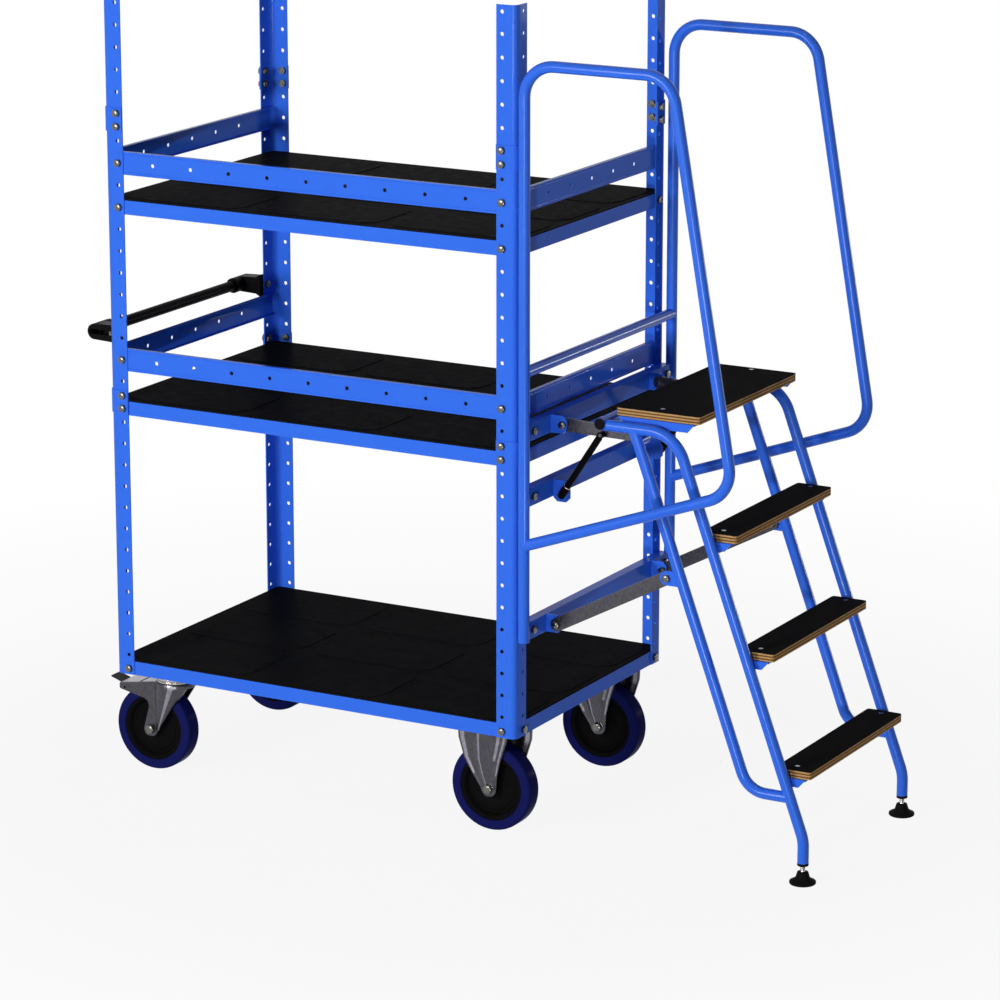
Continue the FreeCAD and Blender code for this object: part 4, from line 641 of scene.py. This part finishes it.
# %% Bell and cone of a swivel fork
BELL = 48.0
RIM = -39.0
BELL_WALL = 3
BELL_TURN = 5
BELL_SIDE = ((44, CROWN), (46.8, CROWN - 1.2), (BELL, CROWN - 4), (BELL, RIM))
CONE_BACK = math.radians(137)
CONE_FRONT = math.radians(25)
CONE_STEPS = 22
CONE_FOOT = (Vector((CREASE, FORK_HALF, -158)), Vector((TRAIL + 20, FORK_HALF - 1, -144)))
# The band of painted highlight, in angles round the king pin
HIGHLIGHT_BAND = (math.radians(66), math.radians(82))


def mark_highlight(face, spots):
    # Marks a face that lies in the band of painted highlight on the round of the bell
    turn = sum(math.atan2(abs(spot.y), spot.x) for spot in spots) / len(spots)
    face.material_index = int(HIGHLIGHT_BAND[0] < turn < HIGHLIGHT_BAND[1])


def bell_part(start, sweep, cut=None):
    # Part of the bell from one angle on, in degrees round the king pin
    work = bmesh.new()
    verts = [work.verts.new((radius, 0, z)) for radius, z in BELL_SIDE]
    edges = [work.edges.new(pair) for pair in zip(verts, verts[1:])]
    bmesh.ops.rotate(work, cent=(0, 0, 0), matrix=Matrix.Rotation(math.radians(start), 3, "Z"), verts=verts)
    bmesh.ops.spin(work, geom=verts + edges, cent=(0, 0, 0), axis=(0, 0, 1), angle=math.radians(sweep),
                   steps=int(sweep / BELL_TURN))
    if cut:
        geom = list(work.verts) + list(work.edges) + list(work.faces)
        bmesh.ops.bisect_plane(work, geom=geom, plane_co=(0, cut, 0), plane_no=(0, -cut, 0), clear_outer=True)
    for face in work.faces:
        mark_highlight(face, [vert.co for vert in face.verts])
    bmesh.ops.recalc_face_normals(work, faces=work.faces)
    bmesh.ops.solidify(work, geom=list(work.faces), thickness=BELL_WALL)
    return work


def cone_part():
    # The raked front of one side, ruled from an arc of the bell to the foot of the leg
    work = bmesh.new()
    start = work.verts.new((BELL * math.cos(CONE_BACK), BELL * math.sin(CONE_BACK), RIM))
    bmesh.ops.spin(work, geom=[start], cent=(0, 0, 0), axis=(0, 0, 1), angle=CONE_FRONT - CONE_BACK,
                   steps=CONE_STEPS)
    drawn = bmesh.ops.extrude_edge_only(work, edges=list(work.edges))["geom"]
    for vert in drawn:
        if isinstance(vert, bmesh.types.BMVert):
            share = (math.atan2(vert.co.y, vert.co.x) - CONE_BACK) / (CONE_FRONT - CONE_BACK)
            vert.co = CONE_FOOT[0].lerp(CONE_FOOT[1], share)
    for face in work.faces:
        mark_highlight(face, [vert.co for vert in face.verts if vert.co.z > RIM - BELL_WALL])
    return thicken(work, (0, -BELL_WALL, 0))


print("bell of radius", BELL, "with a wall of", BELL_WALL, "mm")

# %% Rings and arm plate of a swivel fork
RING_STEPS = 60
SLOT = (52, 58)
ARM_LAP = 12
ARM_PLAY = 0.4


def ring_part(section):
    work = turned(section, Vector((0, 0, 0)), Vector((0, 0, 1)), steps=RING_STEPS)
    bmesh.ops.scale(work, vec=(1 / MM, 1 / MM, 1 / MM), verts=work.verts)
    return work


def arm_plate():
    # Two plates on the arm with the slot between them
    reach = CREASE - ARM_END + ARM_LAP
    work = bmesh.new()
    fall = math.atan2(SHOULDER - ARM_DROP, CREASE - ARM_END)
    lay = Matrix.Translation((ARM_END, 0, ARM_DROP)) @ Matrix.Rotation(-fall, 4, "Y")
    for start, end in ((0, SLOT[0]), (SLOT[1], reach)):
        size = Matrix.Diagonal((end - start, 2 * FORK_HALF - ARM_PLAY, FORK_WALL, 1))
        middle = Matrix.Translation(((start + end) / 2, 0, -FORK_WALL / 2))
        bmesh.ops.create_cube(work, size=1, matrix=lay @ middle @ size)
    for face in work.faces:
        # The whole plate gets the brighter zinc, a painted highlight
        face.material_index = 1
    return work


print("slot of", SLOT[1] - SLOT[0], "mm across the arm")

# %% Swivel forks
GAP_HALF = 27.3
DISC = ((6.4, CROWN), (45, CROWN), (46.5, CROWN - 1.5), (46.5, CROWN - 4), (6.4, CROWN - 4))
RACE = ((6, -4), (44, -4), (46, -5.5), (46, -9.5), (44, -11), (43, -12.5), (44, -14), (45.5, -15.5),
        (45.5, -20), (44, -21.6), (43.5, -22.4), (44.5, -23.4), (44.5, -26.6), (6, -26.6))
heads = bmesh.new()
for side in ("front", "rear"):
    low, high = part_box(f"swivel_fork_{side}")
    king = Vector((high.x - BELL * MM, (low.y + high.y) / 2, deck_bottom))
    spot = Matrix.Translation(king)
    work = bmesh.new()
    for turn in (1, -1):
        flat = thicken(flat_face(SEVEN, SEVEN_ROUND), (0, -FORK_WALL, 0))
        bmesh.ops.translate(flat, vec=(0, FORK_HALF, 0), verts=flat.verts)
        for part in (flat, cone_part()):
            join(work, part, spot @ Matrix.Diagonal((MM, MM * turn, MM, 1)))
    parts = (bell_part(-90, 180), bell_part(90, 90, GAP_HALF), bell_part(180, 90, -GAP_HALF), ring_part(DISC),
             arm_plate())
    for part in parts:
        join(work, part, spot @ Matrix.Diagonal((MM, MM, MM, 1)))
    node = f"swivel_fork_{side}"
    show(node + "_skin", work, "zinc", node, [node], 0.6 * MM, ZINC_WITH_HIGHLIGHT)
    plate = bmesh.new()
    lay = Matrix.Translation((0, 0, -PLATE[2] / 2)) @ Matrix.Diagonal((*PLATE, 1))
    bmesh.ops.create_cube(plate, size=1, matrix=lay)
    for part in (plate, ring_part(RACE)):
        join(heads, part, spot @ Matrix.Diagonal((MM, MM, MM, 1)))
show("swivel_plates_skin", heads, "bright_steel", "swivel_plates", ["swivel_plates"], 0.8 * MM)
print("two swivel forks with their races")

# %% [markdown]
# ## Gas spring ends
# A gas spring helps the ladder up. Its lower end is a black moulded ball socket, a little wider than
# the cylinder, with a small steel ring round its mouth. Both are turned shapes on the line of the
# spring, which its two joints give. The thin rod is hidden at rest, so it isn't drawn.

# %% Gas spring ends
BOOT = ((0, -9.5), (6, -8.5), (8.6, -5), (9.2, 0), (9.2, 17), (8.4, 21), (8, 22), (0, 22))
BOOT_ROUND = {1.5: (1, 2, 5)}
ROD_RING = ((3, 21.5), (8.6, 21.5), (8.6, 24), (3, 24))
SPRING_STEPS = 36
JOINT = {joint["name"]: joint for joint in frame["joints"]}
for side in ("front", "rear"):
    node = f"gas_rod_{side}"
    pivot = Vector(JOINT[f"gas_{side}_swing"]["pos_m"])
    line = Vector(JOINT[f"gas_{side}_stroke"]["axis"]).normalized()
    show(node + "_boot", turned(BOOT, pivot, line, BOOT_ROUND, SPRING_STEPS), "gas_black", node, [node])
    show(node + "_ring", turned(ROD_RING, pivot, line, steps=SPRING_STEPS), "bright_steel", node,
         edge=0.5 * MM)
print("two gas spring boots")

# %% [markdown]
# ## Treads
# A board is a cube cut at each glue line, and the edges of every other sheet get the darker wood.
# The topmost slice is the black film. Cutting with planes keeps the sheets in one closed board.

# %% Treads
BOARD = 18 * MM
FILM = 1.5 * MM
SHEETS = 5
BOARD_CORNER = 7 * MM
STEP_DEPTH = 84 * MM
STEPS = 3


def board(target, low, high):
    size = high - low
    work = bmesh.new()
    lay = Matrix.Translation((low + high) / 2) @ Matrix.Diagonal((*size, 1))
    bmesh.ops.create_cube(work, size=1, matrix=lay)
    upright = [edge for edge in work.edges if abs(edge.verts[0].co.z - edge.verts[1].co.z) > size.z / 2]
    bmesh.ops.bevel(work, geom=upright, offset=BOARD_CORNER, segments=ROUND_STEPS, affect="EDGES",
                    profile=0.5, material=-1)
    lines = [low.z + (BOARD - FILM) * line / SHEETS for line in range(1, SHEETS + 1)]
    for line in lines:
        geom = list(work.verts) + list(work.edges) + list(work.faces)
        bmesh.ops.bisect_plane(work, geom=geom, plane_co=(0, 0, line), plane_no=(0, 0, 1))
    for face in work.faces:
        layer = sum(face.calc_center_median().z > line for line in lines)
        face.material_index = 2 if layer == SHEETS else layer % 2
    join(target, work, Matrix.Identity(4))


low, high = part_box("platform_board")
work = bmesh.new()
board(work, low, high)
TREAD = [ply_long, ply_cross, tread_film]
show("platform_skin", work, "tread_ply", "platform_board", ["platform_board"], 0.5 * MM, TREAD)
low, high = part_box("step_boards")
run = (high.x - low.x - STEP_DEPTH) / (STEPS - 1)
rise = (high.z - low.z - BOARD) / (STEPS - 1)
work = bmesh.new()
for step in range(STEPS):
    near = Vector((low.x + step * run, low.y, high.z - BOARD - step * rise))
    board(work, near, Vector((near.x + STEP_DEPTH, high.y, near.z + BOARD)))
show("steps_skin", work, "tread_ply", "step_boards", ["step_boards"], 0.5 * MM, TREAD)
print("boards of", SHEETS, "sheets, rise", round(rise, 3), "run", round(run, 3))

# %% [markdown]
# ## Levelling feet
# Each ladder leg ends in a threaded spindle with a bell shaped pad. The pad is a turned shape. The
# thread is a small tooth that a spin carries round and, at the same time, up by its pitch.

# %% Feet
PAD = ((0, 2), (24, 2), (27, 0), (29, 1.5), (29, 6), (22, 9), (16, 14), (14, 20), (12, 27), (8, 28), (0, 28))
PAD_STEPS = 48
PITCH = 1.75
TOOTH = ((4.8, 0), (5.6, PITCH / 2), (4.8, PITCH))
THREAD_LOW = 28.5 * MM
THREAD_STEPS = 20
for side in ("front", "rear"):
    node = f"foot_pad_{side}"
    low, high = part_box(node)
    base = Vector(((low.x + high.x) / 2, (low.y + high.y) / 2, low.z))
    pad = turned(PAD, base, Vector((0, 0, 1)), steps=PAD_STEPS)
    show(node + "_skin", pad, "plastic_black", node, [node], 0.6 * MM)
    node = f"foot_spindle_{side}"
    low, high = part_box(node)
    work = merged(node)
    start = Vector(((low.x + high.x) / 2, (low.y + high.y) / 2, base.z + THREAD_LOW))
    tooth = [work.verts.new(start + Vector((radius * MM, 0, reach * MM))) for radius, reach in TOOTH]
    edges = [work.edges.new(pair) for pair in zip(tooth, tooth[1:])]
    turns = int((high.z - start.z) / MM / PITCH) - 1
    bmesh.ops.spin(work, geom=tooth + edges, cent=start, axis=(0, 0, 1),
                   dvec=(0, 0, PITCH * MM / THREAD_STEPS), angle=math.tau * turns, steps=THREAD_STEPS * turns)
    bmesh.ops.recalc_face_normals(work, faces=work.faces)
    show(node + "_skin", work, "bright_steel", node, [node])
print("two feet with", turns, "turns of thread")

# %% [markdown]
# ## Camera
# The photograph is a plain studio shot on white with a long lens. The camera stands where the post
# holes and shelf corners line up with the picture. It could be aimed with a constraint, but two written
# angles show at once how far it looks down and to the left.

# %% Camera
scene = bpy.context.scene
scene.view_settings.view_transform = "Standard"
LOOK_DOWN = 14.641
LOOK_LEFT = 29.139
lens = bpy.data.cameras.new("camera")
lens.lens = 154.18
lens.sensor_width = 36.0
camera = bpy.data.objects.new("camera", lens)
camera.location = (4.547, -8.180, 3.126)
camera.rotation_euler = (math.radians(90 - LOOK_DOWN), 0, math.radians(LOOK_LEFT))
scene.collection.objects.link(camera)
scene.camera = camera
print("camera", [round(value, 3) for value in camera.location])

# %% [markdown]
# ## Lamps
# One wide soft lamp in front and to the left lights the long side, so the ladder end lies in shade.
# Three small lamps add glints: a low one in front draws the bright lines along the tubes, one stands
# behind and one hangs above. A small lamp gives a thin line and a wide one a broad sheen, so the width
# of each is chosen with its power.

# %% Lamps
AIM = Vector((0.0, 0.0, 0.9))
# Each lamp has a place, a width in metres and a power in watts
LAMPS = {
    "key": ((-2.4, -8.0, 2.4), 3.0, 380),
    "spark": ((3.2, -8.3, 0.5), 0.32, 200),
    "rim": ((4.4, 6.9, 1.0), 0.4, 50),
    "top": ((1.5, -1.0, 6.0), 0.4, 20),
}
for name, (spot, width, power) in LAMPS.items():
    light = bpy.data.lights.new(name, "AREA")
    light.shape = "DISK"
    light.size = width
    light.energy = power
    shown = bpy.data.objects.new(name, light)
    shown.location = spot
    shown.rotation_euler = (AIM - Vector(spot)).to_track_quat("-Z", "Y").to_euler()
    scene.collection.objects.link(shown)
print("lamps:", ", ".join(LAMPS))

# %% [markdown]
# ## White world and floor
# The background is pure white, but a world that bright would light the object from all sides and take
# its shade away. So the white that is seen, also in reflections, is kept apart from the weak light that
# the world gives. The floor could be left out, but its faint shadow puts the wheels on the ground.

# %% White world
SEEN_WHITE = 1.0
STUDIO = 0.04


def seen_rays(tree):
    # One where the camera looks, straight or by way of a mirror or glass
    rays = add(tree, "ShaderNodeLightPath")
    seen = rays.outputs["Is Camera Ray"]
    for label in ("Is Glossy Ray", "Is Transmission Ray"):
        either = add(tree, "ShaderNodeMath", operation="MAXIMUM")
        tree.links.new(seen, either.inputs[0])
        tree.links.new(rays.outputs[label], either.inputs[1])
        seen = either.outputs["Value"]
    return seen


world = bpy.data.worlds.new("studio")
scene.world = world
world.use_nodes = True
tree = world.node_tree
level = add(tree, "ShaderNodeMapRange", to_min=STUDIO, to_max=SEEN_WHITE)
tree.links.new(seen_rays(tree), level.inputs["Value"])
tree.nodes["Background"].inputs["Color"].default_value = (1, 1, 1, 1)
tree.links.new(level.outputs["Result"], tree.nodes["Background"].inputs["Strength"])
print("world is seen at", SEEN_WHITE, "and gives light at", STUDIO)

# %% Floor
FLOOR_HALF = 30
FLOOR_GREY = 0.85
sheet = bmesh.new()
bmesh.ops.create_grid(sheet, x_segments=1, y_segments=1, size=FLOOR_HALF)
mesh = bpy.data.meshes.new("floor")
sheet.to_mesh(mesh)
sheet.free()
floor = bpy.data.objects.new("floor", mesh)
scene.collection.objects.link(floor)
pale, tree, shader = new_material("floor_white")
shader.inputs["Base Color"].default_value = (FLOOR_GREY, FLOOR_GREY, FLOOR_GREY, 1)
shader.inputs["Roughness"].default_value = 0.9
glow = add(tree, "ShaderNodeEmission", strength=SEEN_WHITE)
# Near the object the floor shows a little of its shadow, and further out it fades to white
away = add(tree, "ShaderNodeVectorMath", operation="LENGTH")
white_share = add(tree, "ShaderNodeMapRange", from_min=1.0, from_max=3.0, to_min=0.9, to_max=1.0)
share = add(tree, "ShaderNodeMath", operation="MULTIPLY")
blend = add(tree, "ShaderNodeMixShader")
tree.links.new(object_place(tree), away.inputs[0])
tree.links.new(away.outputs["Value"], white_share.inputs["Value"])
tree.links.new(seen_rays(tree), share.inputs[0])
tree.links.new(white_share.outputs["Result"], share.inputs[1])
tree.links.new(share.outputs["Value"], blend.inputs["Fac"])
tree.links.new(shader.outputs["BSDF"], blend.inputs[1])
tree.links.new(glow.outputs["Emission"], blend.inputs[2])
tree.links.new(blend.outputs["Shader"], tree.nodes["Material Output"].inputs["Surface"])
mesh.materials.append(pale)
print("pale floor of", 2 * FLOOR_HALF, "m")

# %% [markdown]
# ## Sizes
# The skins have to keep to the box of the solids.

# # The skins are built on the boxes and meshes of their solids, so they keep to their sizes.

# %% Finish
print("scene built")
